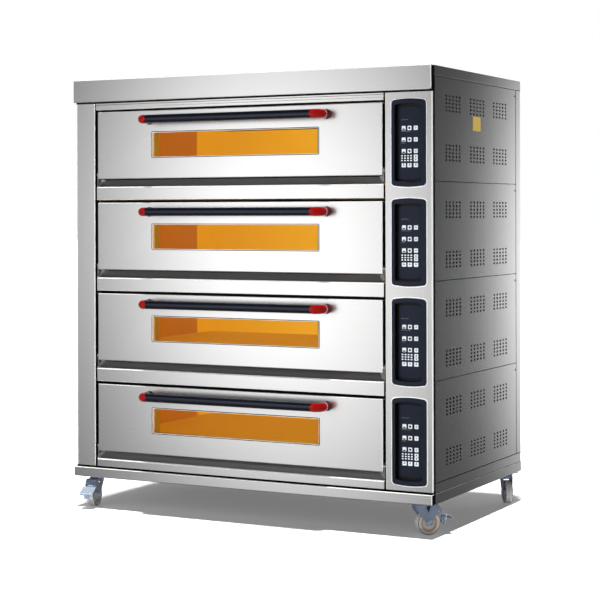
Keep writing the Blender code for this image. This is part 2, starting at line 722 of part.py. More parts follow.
def casters(parent):
    """Four swivel casters; the front pair have brakes."""
    wheel, pedal = wheel_mesh(), pedal_mesh()
    forks = {True: fork_mesh(True), False: fork_mesh(False)}
    for name, x, y, bearing in CASTERS:
        braked = name.startswith("front")
        swivel = empty(f"caster_swivel_{name}", (x, y, 0.0), parent, math.radians(bearing - 90))
        piece(f"caster_fork_{name}", forks[braked].copy(), "zinc_plate", swivel)
        piece(f"caster_wheel_{name}", wheel.copy(), "caster_tread", swivel, (TRAIL, 0.0, WHEEL_RADIUS))
        if braked:
            place = (PEDAL_PIVOT[0], 0.0, PEDAL_PIVOT[1])
            piece(f"brake_pedal_{name}", pedal.copy(), "zinc_plate", swivel, place)


def main():
    oven = empty("oven", (-ORIGIN_X, -ORIGIN_Y, 0.0))
    for build in (base_frame, top_cover, left_stile, control_column, rear_cover, side_panels, decks, casters):
        build(oven)


main()
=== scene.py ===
"""Looks of the four-deck bakery oven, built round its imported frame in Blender 4.5.

Metres throughout. Points are given as in the oven itself: x from its left side, y back from the
plane of its doors and z up from the floor, or from the bottom edge of a deck's door.
"""

import json
import math

import bmesh
import bpy
from mathutils import Matrix, Vector


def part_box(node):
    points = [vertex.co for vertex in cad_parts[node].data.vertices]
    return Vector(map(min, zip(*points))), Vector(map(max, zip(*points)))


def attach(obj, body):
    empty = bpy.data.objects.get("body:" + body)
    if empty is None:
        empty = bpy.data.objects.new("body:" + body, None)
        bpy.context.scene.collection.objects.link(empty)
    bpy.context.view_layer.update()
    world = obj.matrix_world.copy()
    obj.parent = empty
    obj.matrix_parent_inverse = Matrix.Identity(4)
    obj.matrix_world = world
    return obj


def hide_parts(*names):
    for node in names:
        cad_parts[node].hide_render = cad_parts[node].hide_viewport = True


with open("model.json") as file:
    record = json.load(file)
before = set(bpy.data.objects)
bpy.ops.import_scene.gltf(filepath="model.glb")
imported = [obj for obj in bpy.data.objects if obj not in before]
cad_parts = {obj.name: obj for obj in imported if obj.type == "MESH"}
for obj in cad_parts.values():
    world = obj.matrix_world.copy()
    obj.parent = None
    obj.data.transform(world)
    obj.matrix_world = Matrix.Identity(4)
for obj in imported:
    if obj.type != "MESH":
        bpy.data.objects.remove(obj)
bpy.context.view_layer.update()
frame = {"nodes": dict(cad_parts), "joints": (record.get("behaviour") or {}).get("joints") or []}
JOINTS = {joint["name"]: joint for joint in frame["joints"]}

# Driving sizes, read from the frame.
DECKS = (1, 2, 3, 4)
ORIGIN = Vector((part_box("base_frame")[0].x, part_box("door_1")[0].y, 0.0))


def span(node, lift=0.0):
    """Lowest and highest corner of a CAD node, in the oven's own coordinates."""
    low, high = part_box(node)
    shift = ORIGIN + Vector((0.0, 0.0, lift))
    return low - shift, high - shift


def door_bottom(deck):
    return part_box(f"door_{deck}")[0].z


BASE_LOW, BASE_HIGH = span("base_frame")
ROOF_LOW, ROOF_HIGH = span("top_cover")
STILE_LOW, STILE_HIGH = span("left_stile")
COLUMN_LOW, COLUMN_HIGH = span("control_column")
PANEL_LOW, PANEL_HIGH = span("right_side_panel_1")
REAR_LOW, REAR_HIGH = span("rear_cover")
RAIL_LOW, RAIL_HIGH = span("deck_rail_1", door_bottom(1))
DOOR_LOW, DOOR_HIGH = span("door_1", door_bottom(1))
PANE_LOW, PANE_HIGH = span("door_glass_1", door_bottom(1))
SLEEVE_LOW, SLEEVE_HIGH = span("handle_tube_1", door_bottom(1))
GRIP_LOW, GRIP_HIGH = span("handle_bracket_1", door_bottom(1))
LINER_LOW, LINER_HIGH = span("chamber_1", door_bottom(1))
BEZEL_LOW, BEZEL_HIGH = span("control_bezel_1", door_bottom(1))
KEYPAD_LOW, KEYPAD_HIGH = span("keypad_1", door_bottom(1))

WIDTH, DEPTH, HEIGHT = BASE_HIGH.x, BASE_HIGH.y, ROOF_HIGH.z
SHEET = 0.0015
BAND_TOP = STILE_LOW.z
FASCIA_BOTTOM = STILE_HIGH.z
CAP_BOTTOM = REAR_HIGH.z
SKIRT_TOP = REAR_LOW.z
SIDE_FRONT = PANEL_LOW.y
FRONT_BACK = SIDE_FRONT - 0.0015  # where the front's end faces stop, short of the side panels


# Materials. Each is made once, by name.


def added(tree, kind, values=None, **settings):
    """A new shader node with its settings, then the values of its sockets."""
    made = tree.nodes.new("ShaderNode" + kind)
    for name, value in settings.items():
        setattr(made, name, value)
    for socket, value in (values or {}).items():
        made.inputs[socket].default_value = value
    return made


def wire(tree, *links):
    """Links sockets. A link is a node and its output, then a node and its input."""
    for source, output, target, socket in links:
        tree.links.new(source.outputs[output], target.inputs[socket])


def textured(name, colour, spread=0.06, roughness=(0.3, 0.4), grain=60, bump=0.05, **sockets):
    """A Principled material whose colour, roughness and relief follow fine and coarse noise."""
    result = bpy.data.materials.new(name)
    result.use_nodes = True
    tree = result.node_tree
    shader = tree.nodes["Principled BSDF"]
    for socket, value in sockets.items():
        shader.inputs[socket.replace("_", " ")].default_value = value
    dark = (*[c * (1 - spread) for c in colour], 1.0)
    pale = (*[min(1.0, c * (1 + spread)) for c in colour], 1.0)
    place = added(tree, "TexCoord")
    stretch = added(tree, "Mapping", {"Scale": grain if isinstance(grain, tuple) else (grain,) * 3})
    fine = added(tree, "TexNoise", {"Scale": 1.0, "Detail": 3.0})
    coarse = added(tree, "TexNoise", {"Scale": 4.0, "Detail": 4.0})
    tint = added(tree, "Mix", {"A": dark, "B": pale}, data_type="RGBA")
    blend = added(tree, "Math", {1: 0.5}, operation="MULTIPLY_ADD")
    halves = added(tree, "Math", {1: 0.5}, operation="MULTIPLY")
    limits = {"From Min": 0.3, "From Max": 0.7, "To Min": roughness[0], "To Max": roughness[1]}
    gloss = added(tree, "MapRange", limits)
    relief = added(tree, "Bump", {"Strength": bump, "Distance": 0.0005})
    wire(
        tree,
        (place, "Object", stretch, "Vector"),
        (stretch, "Vector", fine, "Vector"),
        (place, "Object", coarse, "Vector"),
        (coarse, "Fac", halves, 0),
        (fine, "Fac", blend, 0),
        (halves, 0, blend, 2),
        (blend, 0, tint, "Factor"),
        (tint, "Result", shader, "Base Color"),
        (fine, "Fac", gloss, "Value"),
        (gloss, "Result", shader, "Roughness"),
        (fine, "Fac", relief, "Height"),
        (relief, "Normal", shader, "Normal"),
    )
    return result


ALONG_X = (3, 380, 380)
ALONG_Z = (380, 380, 3)


def steel(name, colour, roughness, grain, spread=0.035):
    return textured(name, colour, spread, roughness, grain, 0.003, Metallic=1.0)


LINER_ORANGE = (0.36, 0.080, 0.003, 1.0)
LINER_AMBER = (0.70, 0.275, 0.002, 1.0)
LINER_GOLD = (1.12, 0.60, 0.016, 1.0)
LINER_OUTSIDE_SHADE = (0.004, 0.004, 0.005, 1.0)
LINER_GLOW_DEPTH = 0.83  # share of the depth beyond which the side walls take the rear lamp's painted glow
BLACK = (0.0, 0.0, 0.0, 1.0)
WHITE = (1.0, 1.0, 1.0, 1.0)


def painted_glow_liner(name):
    """Chamber steel with its lamp's light painted in as glow: orange side walls, a bright back wall, and a dark
    outside of painted shade.
    """
    result = textured(name, (0.24, 0.15, 0.07), 0.15, (0.40, 0.55), 90, Metallic=0.8)
    tree = result.node_tree
    shader = tree.nodes["Principled BSDF"]
    shader.inputs["Emission Strength"].default_value = 1.0
    place = added(tree, "TexCoord")
    where = added(tree, "SeparateXYZ")
    outward = added(tree, "VectorMath", {1: (0.5, 0.5, 0.5)}, operation="SUBTRACT")
    facing = added(tree, "NewGeometry")
    split = added(tree, "SeparateXYZ")
    lean = added(tree, "VectorMath", operation="DOT_PRODUCT")
    inside = added(tree, "Math", {1: 0.0}, operation="LESS_THAN")
    sideways = added(tree, "Math", operation="ABSOLUTE")
    near = added(tree, "Math", {1: LINER_GLOW_DEPTH}, operation="LESS_THAN")
    shaded = added(tree, "Math", operation="MULTIPLY")
    wall = added(tree, "Mix", {"A": LINER_AMBER, "B": LINER_GOLD}, data_type="RGBA")
    side = added(tree, "Mix", {"B": LINER_ORANGE}, data_type="RGBA")
    lit = added(tree, "Mix", {"A": BLACK}, data_type="RGBA")
    colour = added(tree, "Mix", {"A": LINER_OUTSIDE_SHADE}, data_type="RGBA")
    tree.links.new(shader.inputs["Base Color"].links[0].from_socket, colour.inputs["B"])
    wire(
        tree,
        (place, "Generated", where, 0),
        (place, "Generated", outward, 0),
        (facing, "Normal", split, 0),
        (facing, "Normal", lean, 0),
        (outward, 0, lean, 1),
        (lean, "Value", inside, 0),
        (split, "X", sideways, 0),
        (where, "X", wall, "Factor"),
        (wall, "Result", side, "A"),
        (where, "Y", near, 0),
        (near, 0, shaded, 0),
        (sideways, 0, shaded, 1),
        (shaded, 0, side, "Factor"),
        (inside, 0, lit, "Factor"),
        (side, "Result", lit, "B"),
        (lit, "Result", shader, "Emission Color"),
        (inside, 0, colour, "Factor"),
        (colour, "Result", shader, "Base Color"),
    )
    return result


def plastic(name, colour, roughness, **sockets):
    return textured(name, colour, 0.10, roughness, 900, 0.04, **sockets)


# A maker and what it is given after the name; the last item may hold values of the shader's sockets.
MATERIALS = {
    "steel_wide": (steel, (0.79, 0.79, 0.785), (0.255, 0.275), ALONG_X, 0.007),
    "steel_tall": (steel, (0.72, 0.72, 0.715), (0.255, 0.275), ALONG_Z, 0.007),
    # a paler copy of the steel: painted highlight on the stile
    "steel_post": (steel, (0.87, 0.87, 0.865), (0.30, 0.33), ALONG_Z, 0.007),
    # a darker copy of the steel: painted shade on the sides, roof cap, skirts and rear
    "steel_side": (steel, (0.55, 0.555, 0.55), (0.175, 0.20), ALONG_Z, 0.010),
    # a darker copy of the steel: painted shade on the sloping sills
    "steel_sill": (steel, (0.34, 0.34, 0.335), (0.30, 0.38), ALONG_X, 0.05),
    # paler, less metallic steels that catch the overhead light: painted highlight on rims, trims and edges that
    # lean up or to the right
    "steel_rim": (textured, (0.95, 0.95, 0.945), 0.02, (0.34, 0.40), 90, 0.0, {"Metallic": 0.35}),
    "steel_edge": (textured, (0.72, 0.72, 0.715), 0.03, (0.30, 0.36), 90, 0.0, {"Metallic": 0.7}),
    # a darker steel: painted shade on the hinge ears in their gaps and on the tray under the oven
    "steel_inner": (steel, (0.52, 0.50, 0.47), (0.35, 0.50), ALONG_X, 0.08),
    "shadow_paint": (
        textured, (0.002, 0.002, 0.0022), 0.3, (0.8, 0.9), 200, {"Specular IOR Level": 0.1},
    ),
    "liner": (painted_glow_liner,),
    # the hearth's emission is painted glow of the chamber's light
    "hearth": (
        textured, (0.30, 0.20, 0.10), 0.35, (0.5, 0.7), 140, 0.2,
        {"Metallic": 0.3, "Emission Color": (1.0, 0.36, 0.008, 1.0), "Emission Strength": 0.34},
    ),
    "element": (textured, (0.07, 0.065, 0.06), 0.3, (0.45, 0.6), 300, 0.1, {"Metallic": 0.7}),
    "gasket": (textured, (0.05, 0.05, 0.052), 0.3, (0.7, 0.9), (500, 1500, 500), 0.5),
    "pane": (
        textured, (0.10, 0.04, 0.006), 0.05, (0.03, 0.06), 20, 0.0,
        {"Alpha": 0.07, "Specular IOR Level": 0.5},
    ),
    "lamp": (
        textured, (1.0, 0.82, 0.5), 0.05, (0.1, 0.2), 200,
        {"Emission Color": (1.0, 0.62, 0.2, 1.0), "Emission Strength": 6.0},
    ),
    "grip": (plastic, (0.002, 0.0025, 0.006), (0.24, 0.30), {"Specular Tint": (0.72, 0.80, 1.0, 1.0)}),
    "red": (plastic, (0.22, 0.003, 0.003), (0.22, 0.30), {"Specular Tint": (1.0, 0.35, 0.32, 1.0)}),
    "collar": (plastic, (0.020, 0.023, 0.032), (0.30, 0.42)),
    "ring": (plastic, (0.80, 0.52, 0.52), (0.20, 0.28)),
    "navy": (
        plastic, (0.006, 0.008, 0.019), (0.36, 0.46),
        {"Specular IOR Level": 0.36, "Specular Tint": (0.66, 0.75, 1.0, 1.0)},
    ),
    "keypad": (plastic, (0.006, 0.0075, 0.015), (0.42, 0.52), {"Specular Tint": (0.62, 0.72, 1.0, 1.0)}),
    # near black: painted shade in the keypad's recess, on its wall and floor
    "recess": (plastic, (0.002, 0.002, 0.003), (0.5, 0.6)),
    "key": (plastic, (0.80, 0.87, 0.92), (0.35, 0.45)),
    "glyph": (plastic, (0.008, 0.010, 0.018), (0.4, 0.5)),
    "mark": (plastic, (0.16, 0.17, 0.20), (0.4, 0.5)),
    "zinc": (textured, (0.25, 0.31, 0.42), 0.30, (0.28, 0.48), 70, 0.06, {"Metallic": 0.55}),
    "zinc_bright": (textured, (0.62, 0.72, 0.86), 0.12, (0.20, 0.32), 120, 0.05, {"Metallic": 0.65}),
    "tread": (textured, (0.44, 0.43, 0.42), 0.14, (0.45, 0.60), 160, 0.10),
    # dark rings on the tyres' shoulders: painted shade along their edges
    "rubber": (textured, (0.045, 0.045, 0.048), 0.14, (0.5, 0.6), 160, 0.10),
    "hub_ring": (textured, (0.42, 0.20, 0.05), 0.15, (0.45, 0.6), 140, 0.08),
    "hub": (textured, (0.42, 0.43, 0.44), 0.12, (0.4, 0.55), 140, 0.06),
    "screw": (textured, (0.10, 0.10, 0.10), 0.2, (0.3, 0.4), 300, 0.05, {"Metallic": 0.9}),
    "label": (textured, (0.56, 0.38, 0.06), 0.12, (0.45, 0.6), 90, 0.05),
    # near black: painted shade seen through the side panels' holes
    "jacket": (
        textured, (0.001, 0.001, 0.0011), 0.3, (0.8, 0.9), 60, 0.3, {"Specular IOR Level": 0.0},
    ),
    "floor": (
        textured, (0.86, 0.86, 0.86), 0.01, (0.6, 0.7), 8, 0.0,
        {"Emission Color": WHITE, "Emission Strength": 0.12},
    ),
}


def finish_of(name):
    """The material of that name, made when it is first asked for."""
    made = bpy.data.materials.get(name)
    if made:
        return made
    maker, *values = MATERIALS[name]
    sockets = values.pop() if values and isinstance(values[-1], dict) else {}
    return maker(name, *values, **sockets)


# Mesh tools. Each returns a mesh.


def helper(data):
    obj = bpy.data.objects.new("helper", data)
    bpy.context.scene.collection.objects.link(obj)
    return obj


def settled(obj):
    """The object's mesh with its modifiers applied. The object is removed."""
    bpy.context.view_layer.update()
    shown = obj.evaluated_get(bpy.context.evaluated_depsgraph_get())
    mesh = bpy.data.meshes.new_from_object(shown)
    bpy.data.objects.remove(obj)
    return mesh


def filled(bm):
    mesh = bpy.data.meshes.new("made")
    bmesh.ops.recalc_face_normals(bm, faces=bm.faces)
    bm.to_mesh(mesh)
    bm.free()
    return mesh


def welded(mesh):
    bm = bmesh.new()
    bm.from_mesh(mesh)
    bmesh.ops.remove_doubles(bm, verts=bm.verts, dist=0.00001)
    return filled(bm)


def merged(*meshes):
    """Several meshes as one, unjoined."""
    bm = bmesh.new()
    for mesh in meshes:
        bm.from_mesh(mesh)
    mesh = bpy.data.meshes.new("merged")
    bm.to_mesh(mesh)
    bm.free()
    return mesh


def combined(mesh, others, operation):
    """The mesh joined with, or cut by, each of the others."""
    target = helper(mesh)
    tools = [helper(other) for other in others]
    for tool in tools:
        boolean = target.modifiers.new("boolean", "BOOLEAN")
        boolean.operation = operation
        boolean.solver = "EXACT"
        boolean.object = tool
    result = settled(target)
    for tool in tools:
        bpy.data.objects.remove(tool)
    return result


def cut(mesh, *others):
    return combined(mesh, others, "DIFFERENCE")


def block(low, high, bevel=0.0, segments=2):
    """A box between two corners, with its edges rounded by bevel."""
    low, high = Vector(low), Vector(high)
    bm = bmesh.new()
    place = Matrix.Translation((low + high) / 2) @ Matrix.Diagonal((*(high - low), 1.0))
    bmesh.ops.create_cube(bm, size=1.0, matrix=place)
    if bevel:
        bmesh.ops.bevel(bm, geom=bm.edges[:], offset=bevel, segments=segments, profile=0.5, affect="EDGES")
    return filled(bm)


def rod(start, end, radius, sides=24, bevel=0.0, tip=None):
    """A round bar between two points, tapering to tip, with its end edges rounded by bevel."""
    start, end = Vector(start), Vector(end)
    along = end - start
    place = Matrix.Translation((start + end) / 2) @ along.to_track_quat("Z", "X").to_matrix().to_4x4()
    bm = bmesh.new()
    bmesh.ops.create_cone(
        bm, cap_ends=True, segments=sides, radius1=radius, radius2=tip or radius,
        depth=along.length, matrix=place,
    )
    if bevel:
        rims = [edge for edge in bm.edges if any(len(face.verts) > 4 for face in edge.link_faces)]
        bmesh.ops.bevel(bm, geom=rims, offset=bevel, segments=2, profile=0.5, affect="EDGES")
    return filled(bm)


def arc(centre, radius, start, end, steps):
    """Points on an arc, with angles in degrees."""
    angles = [math.radians(start + (end - start) * i / steps) for i in range(steps + 1)]
    return [(centre[0] + radius * math.cos(a), centre[1] + radius * math.sin(a)) for a in angles]


def bent(path, radii, steps=4):
    """The path with each inner corner rounded by its radius."""
    points = [path[0]]
    for before, corner, after, radius in zip(path, path[1:], path[2:], radii):
        before, corner, after = Vector(before), Vector(corner), Vector(after)
        back, ahead = (before - corner).normalized(), (after - corner).normalized()
        half = back.angle(ahead) / 2
        reach = radius / math.tan(half)
        centre = corner + (back + ahead).normalized() * (radius / math.sin(half))
        first, last = corner + back * reach - centre, corner + ahead * reach - centre
        for i in range(steps + 1):
            points.append(tuple(centre + radius * first.slerp(last, i / steps)))
    return points + [path[-1]]


def folded(path, axis, start, end, radii=(), thickness=SHEET, bevel=0.0):
    """Sheet metal bent along a path in the plane across the axis, lying to the right of the path."""
    place = {
        "X": lambda u, v, w: (w, u, v),
        "Y": lambda u, v, w: (v, w, u),
        "Z": lambda u, v, w: (u, v, w),
    }[axis]
    if radii:
        path = bent(path, radii)
    bm = bmesh.new()
    points = [bm.verts.new(place(*point, start)) for point in path]
    edges = [bm.edges.new(pair) for pair in zip(points, points[1:])]
    swept = bmesh.ops.extrude_edge_only(bm, edges=edges)["geom"]
    swept = [item for item in swept if isinstance(item, bmesh.types.BMVert)]
    bmesh.ops.translate(bm, verts=swept, vec=place(0.0, 0.0, end - start))
    mesh = bpy.data.meshes.new("folded")
    bm.to_mesh(mesh)
    bm.free()
    obj = helper(mesh)
    shell = obj.modifiers.new("shell", "SOLIDIFY")
    shell.thickness = thickness
    shell.offset = -1.0
    shell.use_even_offset = True
    if bevel:
        edge = obj.modifiers.new("edge", "BEVEL")
        edge.width = bevel
        edge.segments = 2
        edge.limit_method = "ANGLE"
        edge.angle_limit = math.radians(60)
    return welded(settled(obj))


def plate(outline, near, far, normal="Y", bevel=0.0, holes=(), smooth=2):
    """A flat outline with thickness, holes and rounded edges, from a filled 2D curve.

    The outline is in (x, z) when the normal is Y, in (y, z) when it is X, in (x, y) when it is Z.
    """
    curve = bpy.data.curves.new("plate", "CURVE")
    curve.dimensions = "2D"
    curve.fill_mode = "BOTH"
    curve.extrude = abs(far - near) / 2 - bevel
    curve.bevel_depth = bevel
    curve.bevel_resolution = smooth
    curve.offset = -bevel
    for ring in (outline, *holes):
        spline = curve.splines.new("POLY")
        spline.points.add(len(ring) - 1)
        for point, (u, v) in zip(spline.points, ring):
            point.co = (u, v, 0.0, 1.0)
        spline.use_cyclic_u = True
    mesh = settled(helper(curve))
    mesh.transform(Matrix.Translation((0.0, 0.0, (near + far) / 2)))
    if normal != "Z":
        rows = {"Y": ((1, 0, 0), (0, 0, 1), (0, 1, 0)), "X": ((0, 0, 1), (1, 0, 0), (0, 1, 0))}[normal]
        mesh.transform(Matrix(rows).to_4x4())
    return welded(mesh)


def tube(points, radius, resolution=6, cyclic=False):
    """A round bar bent along a path of points."""
    curve = bpy.data.curves.new("tube", "CURVE")
    curve.dimensions = "3D"
    curve.bevel_depth = radius
    curve.bevel_resolution = resolution
    curve.use_fill_caps = True
    spline = curve.splines.new("POLY")
    spline.points.add(len(points) - 1)
    for point, place in zip(spline.points, points):
        point.co = (*place, 1.0)
    spline.use_cyclic_u = cyclic
    return welded(settled(helper(curve)))


def turned(profile, sides=48):
    """A closed profile of (radius, height) pairs turned about z."""
    bm = bmesh.new()
    verts = [bm.verts.new((radius, 0.0, height)) for radius, height in profile]
    edges = [bm.edges.new(pair) for pair in zip(verts, verts[1:] + verts[:1])]
    bmesh.ops.spin(
        bm, geom=verts + edges, cent=(0, 0, 0), axis=(0, 0, 1), angle=math.tau, steps=sides, use_merge=True
    )
    bmesh.ops.remove_doubles(bm, verts=bm.verts, dist=0.000005)
    return filled(bm)


def rounded(low, high, corner, steps=4):
    """A rectangle between two corners with rounded corners; corner is one radius or four."""
    radii = corner if isinstance(corner, tuple) else (corner,) * 4
    points = []
    corners = ((high[0], high[1]), (low[0], high[1]), (low[0], low[1]), (high[0], low[1]))
    for turn, ((u, v), radius) in enumerate(zip(corners, radii)):
        side_u, side_v = (1 if turn in (0, 3) else -1), (1 if turn < 2 else -1)
        centre = (u - side_u * radius, v - side_v * radius)
        points += arc(centre, radius, turn * 90, turn * 90 + 90, steps)
    return points


def bowed(centre, size, corner, bow=0.0, grow=0.0, steps=6):
    """A rounded rectangle whose top and bottom edges swell outwards by bow."""
    half_u, half_v = size[0] / 2 + grow, size[1] / 2 + grow - bow
    points = []
    for turn, (side_u, side_v) in enumerate(((1, 1), (-1, 1), (-1, -1), (1, -1))):
        middle = (centre[0] + side_u * (half_u - corner), centre[1] + side_v * (half_v - corner))
        points += arc(middle, corner, turn * 90, turn * 90 + 90, steps)
        if turn in (0, 2) and bow:
            flat = half_u - corner
            for i in range(-5, 6):
                u = -side_u * i / 6 * flat
                points.append((centre[0] + u, centre[1] + side_v * (half_v + bow * (1 - (u / flat) ** 2))))
    return points


def piece(name, mesh, finish, body, replaces=(), lift=0.0, at=None, edges=None):
    """A shown piece that rides on a body. Its mesh is in the oven's coordinates, or in those of at.

    Faces on its rounded edges and folds that lean up or to the right take the finish of edges, a paler steel
    that paints their highlight.
    """
    place = at or Matrix.Translation(ORIGIN + Vector((0.0, 0.0, lift)))
    mesh.transform(place)
    mesh.shade_smooth()
    mesh.set_sharp_from_angle(angle=math.radians(38))
    obj = bpy.data.objects.new(name, mesh)
    bpy.context.scene.collection.objects.link(obj)
    obj.data.materials.clear()
    obj.data.materials.append(finish_of(finish))
    if edges:
        obj.data.materials.append(finish_of(edges))
        for polygon in obj.data.polygons:
            x, y, z = polygon.normal
            polygon.material_index = int(max(abs(x), abs(y), abs(z)) < 0.985 and min(x, z) > -0.2)
    weights = obj.modifiers.new("weights", "WEIGHTED_NORMAL")
    weights.keep_sharp = True
    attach(obj, body)
    if replaces:
        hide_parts(*replaces)
    return obj


def repaint(node, finish):
    """A CAD node that stays, with a better material."""
    obj = frame["nodes"][node]
    obj.data.materials.clear()
    obj.data.materials.append(finish_of(finish))


# The carcass.


SCREW_RADIUS = 0.0042


def screw_head():
    """A domed screw head with a cross cut in it, facing +z."""
    r = SCREW_RADIUS
    dome = turned([(0.0, 0.0016), (r * 0.55, 0.0014), (r, 0.0006), (r, -0.0004), (0.0, -0.0004)], 20)
    slots = [block((-u, -v, 0.0008), (u, v, 0.0030)) for u, v in ((0.0022, 0.0005), (0.0005, 0.0022))]
    return cut(dome, *slots)


def screws(points, normal):
    """Screw heads at points of a face with that outward normal."""
    head = screw_head()
    turn = Vector(normal).to_track_quat("Z", "Y").to_matrix().to_4x4()
    heads = []
    for point in points:
        copy = head.copy()
        copy.transform(Matrix.Translation(point) @ turn)
        heads.append(copy)
    return merged(*heads)


END_CAP = 0.0012  # the plate on the right end of the fascia and of the base band, painted dark as shade
SHADOW_LINE = 0.0060  # painted shadow: the black line under the fascia and over the base band


def front_bar(name, low, high, corners, replaces):
    """A proud front member of the carcass, with its end plate painted dark as shade."""
    outline = rounded((0.0, low), (WIDTH - END_CAP, high), corners)
    member = plate(outline, ROOF_LOW.y, FRONT_BACK, "Y", 0.0030)
    piece(name, member, "steel_wide", "carcass", replaces, edges="steel_rim")
    near = (WIDTH - END_CAP, ROOF_LOW.y + 0.0022, low + 0.0015)
    end = block(near, (WIDTH, SIDE_FRONT, high - 0.0015), 0.0003)
    piece(f"{name}_end", end, "shadow_paint", "carcass")


def roof():
    """Front fascia with rounded corners, the roof with its turned-down edges, and the header."""
    front_bar("fascia", FASCIA_BOTTOM, HEIGHT, (0.009, 0.003, 0.003, 0.009), ["top_cover"])
    cap = plate(rounded((0.0, SIDE_FRONT), (WIDTH, DEPTH), 0.006), CAP_BOTTOM, HEIGHT, "Z", 0.0016)
    piece("roof_cap", cap, "steel_side", "carcass")
    near = (0.0012, FRONT_BACK - 0.001, FASCIA_BOTTOM + 0.0006)
    far = (0.012, span("left_side_panel")[0].y + 0.002, CAP_BOTTOM - 0.0006)
    piece("fascia_return", block(near, far, 0.0004), "steel_side", "carcass")
    bottom, top = FASCIA_BOTTOM - 0.035, FASCIA_BOTTOM
    path = [
        (0.030, bottom), (0.0, bottom), (0.0, bottom + 0.011), (0.0018, bottom + 0.0135),
        (0.0018, top - 0.0135), (0.0, top - 0.011), (0.0, top),
    ]
    header = folded(path, "X", RAIL_LOW.x - 0.006, RAIL_HIGH.x, (0.002, 0.001, 0.001, 0.001, 0.001))
    piece("header_rail", header, "steel_wide", "carcass", edges="steel_rim")


def base():
    """Front band, side bands, skirts and the tray under the oven."""
    low = BASE_LOW.z + 0.004
    front_bar("base_band", low, BAND_TOP, 0.004, ["base_frame"])
    around = [(0.0, SIDE_FRONT), (0.0, DEPTH), (WIDTH, DEPTH), (WIDTH, SIDE_FRONT)]
    side_band = folded(around, "Z", low, BAND_TOP, (0.005, 0.005), 0.002, 0.0010)
    piece("side_band", side_band, "steel_side", "carcass", edges="steel_edge")
    left, right, back = SHEET, WIDTH - SHEET, DEPTH - SHEET
    around = [(left, SIDE_FRONT), (left, back), (right, back), (right, SIDE_FRONT)]
    skirt = folded(around, "Z", BAND_TOP + 0.0012, SKIRT_TOP - 0.0016, (0.005, 0.005), SHEET, 0.0006)
    piece("skirt", skirt, "steel_side", "carcass", edges="steel_edge")
    far = (WIDTH - 0.003, DEPTH - 0.003, BAND_TOP - 0.002)
    tray = block((0.003, BASE_LOW.y + 0.004, BAND_TOP - 0.004), far, 0.0006)
    piece("base_tray", tray, "steel_inner", "carcass")


def painted_shadow_strips():
    """Black strips of painted shadow round the front's members and round the side panels."""
    start, front, back = 0.002, -0.0015, 0.008
    stile_edge, column_edge = STILE_HIGH.x - 0.0005, COLUMN_LOW.x + 0.0005
    strips = [
        block((start, front, FASCIA_BOTTOM - SHADOW_LINE), (COLUMN_HIGH.x, back, FASCIA_BOTTOM + 0.001), 0.0004),
        block((start, front, BAND_TOP - 0.001), (COLUMN_HIGH.x, back, BAND_TOP + SHADOW_LINE), 0.0004),
        block(
            (COLUMN_HIGH.x - 0.004, 0.0025, BAND_TOP),
            (WIDTH - 0.0004, SIDE_FRONT + 0.0004, FASCIA_BOTTOM), 0.0003,
        ),
    ]
    for deck in DECKS:
        bottom = door_bottom(deck)
        low, high = (0.004, bottom + RAIL_LOW.z), (0.012, bottom + RAIL_TOP - 0.001)
        strips.append(block((stile_edge, *low), (RAIL_LOW.x - 0.0003, *high)))
        strips.append(block((RAIL_HIGH.x + 0.0003, *low), (column_edge, *high)))
    strips.append(block((stile_edge, 0.004, BAND_TOP), (DOOR_LOW.x - 0.0012, 0.012, FASCIA_BOTTOM)))
    strips.append(block((DOOR_HIGH.x + 0.0007, 0.004, BAND_TOP), (column_edge, 0.012, FASCIA_BOTTOM)))
    piece("front_shadow_strips", merged(*strips), "shadow_paint", "carcass")
    inner, face, back = WIDTH - 0.010, WIDTH - 0.0009, DEPTH - 0.004
    strips = [
        block((inner, SIDE_FRONT, CAP_BOTTOM - 0.0022), (WIDTH - 0.0002, back, CAP_BOTTOM + 0.0004)),
        block((inner, PANEL_HIGH.y - 0.0006, SKIRT_TOP), (face, PANEL_HIGH.y + 0.0016, CAP_BOTTOM)),
        block((inner, SIDE_FRONT, SKIRT_TOP - 0.0018), (face, back, SKIRT_TOP + 0.0010)),
        block((inner, SIDE_FRONT, BAND_TOP - 0.0002), (face, back, BAND_TOP + 0.0014)),
    ]
    piece("side_shadow_strips", merged(*strips), "shadow_paint", "carcass")


def stile():
    low, high = STILE_LOW, STILE_HIGH
    path = [(high.x, 0.034), (high.x, 0.0), (low.x, 0.0), (low.x, 0.040)]
    mesh = folded(path, "Z", low.z, high.z, (0.0028, 0.0035))
    piece("stile", mesh, "steel_post", "carcass", ["left_stile"], edges="steel_rim")


PANEL_CENTRE = Vector(((BEZEL_LOW.x + BEZEL_HIGH.x) / 2, (BEZEL_LOW.z + BEZEL_HIGH.z) / 2))
RECESS_CENTRE = Vector(((KEYPAD_LOW.x + KEYPAD_HIGH.x) / 2, PANEL_CENTRE.y))
PANEL_SIZE = (BEZEL_HIGH.x - BEZEL_LOW.x, BEZEL_HIGH.z - BEZEL_LOW.z)
RECESS_SIZE = (KEYPAD_HIGH.x - KEYPAD_LOW.x + 0.001, KEYPAD_HIGH.z - KEYPAD_LOW.z + 0.001)
PANEL_BOW = 0.0045
PANEL_CORNER = 0.015
RECESS_CORNER = 0.008


def panel(grow=0.0, corner=PANEL_CORNER):
    """Outline of a control panel, grown by a margin."""
    return bowed(PANEL_CENTRE, PANEL_SIZE, corner, PANEL_BOW, grow)


def recess(grow=0.0, lift=0.0):
    """Outline of the keypad's recess, grown by a margin and raised."""
    return bowed(RECESS_CENTRE + Vector((0.0, lift)), RECESS_SIZE, RECESS_CORNER, PANEL_BOW, grow)


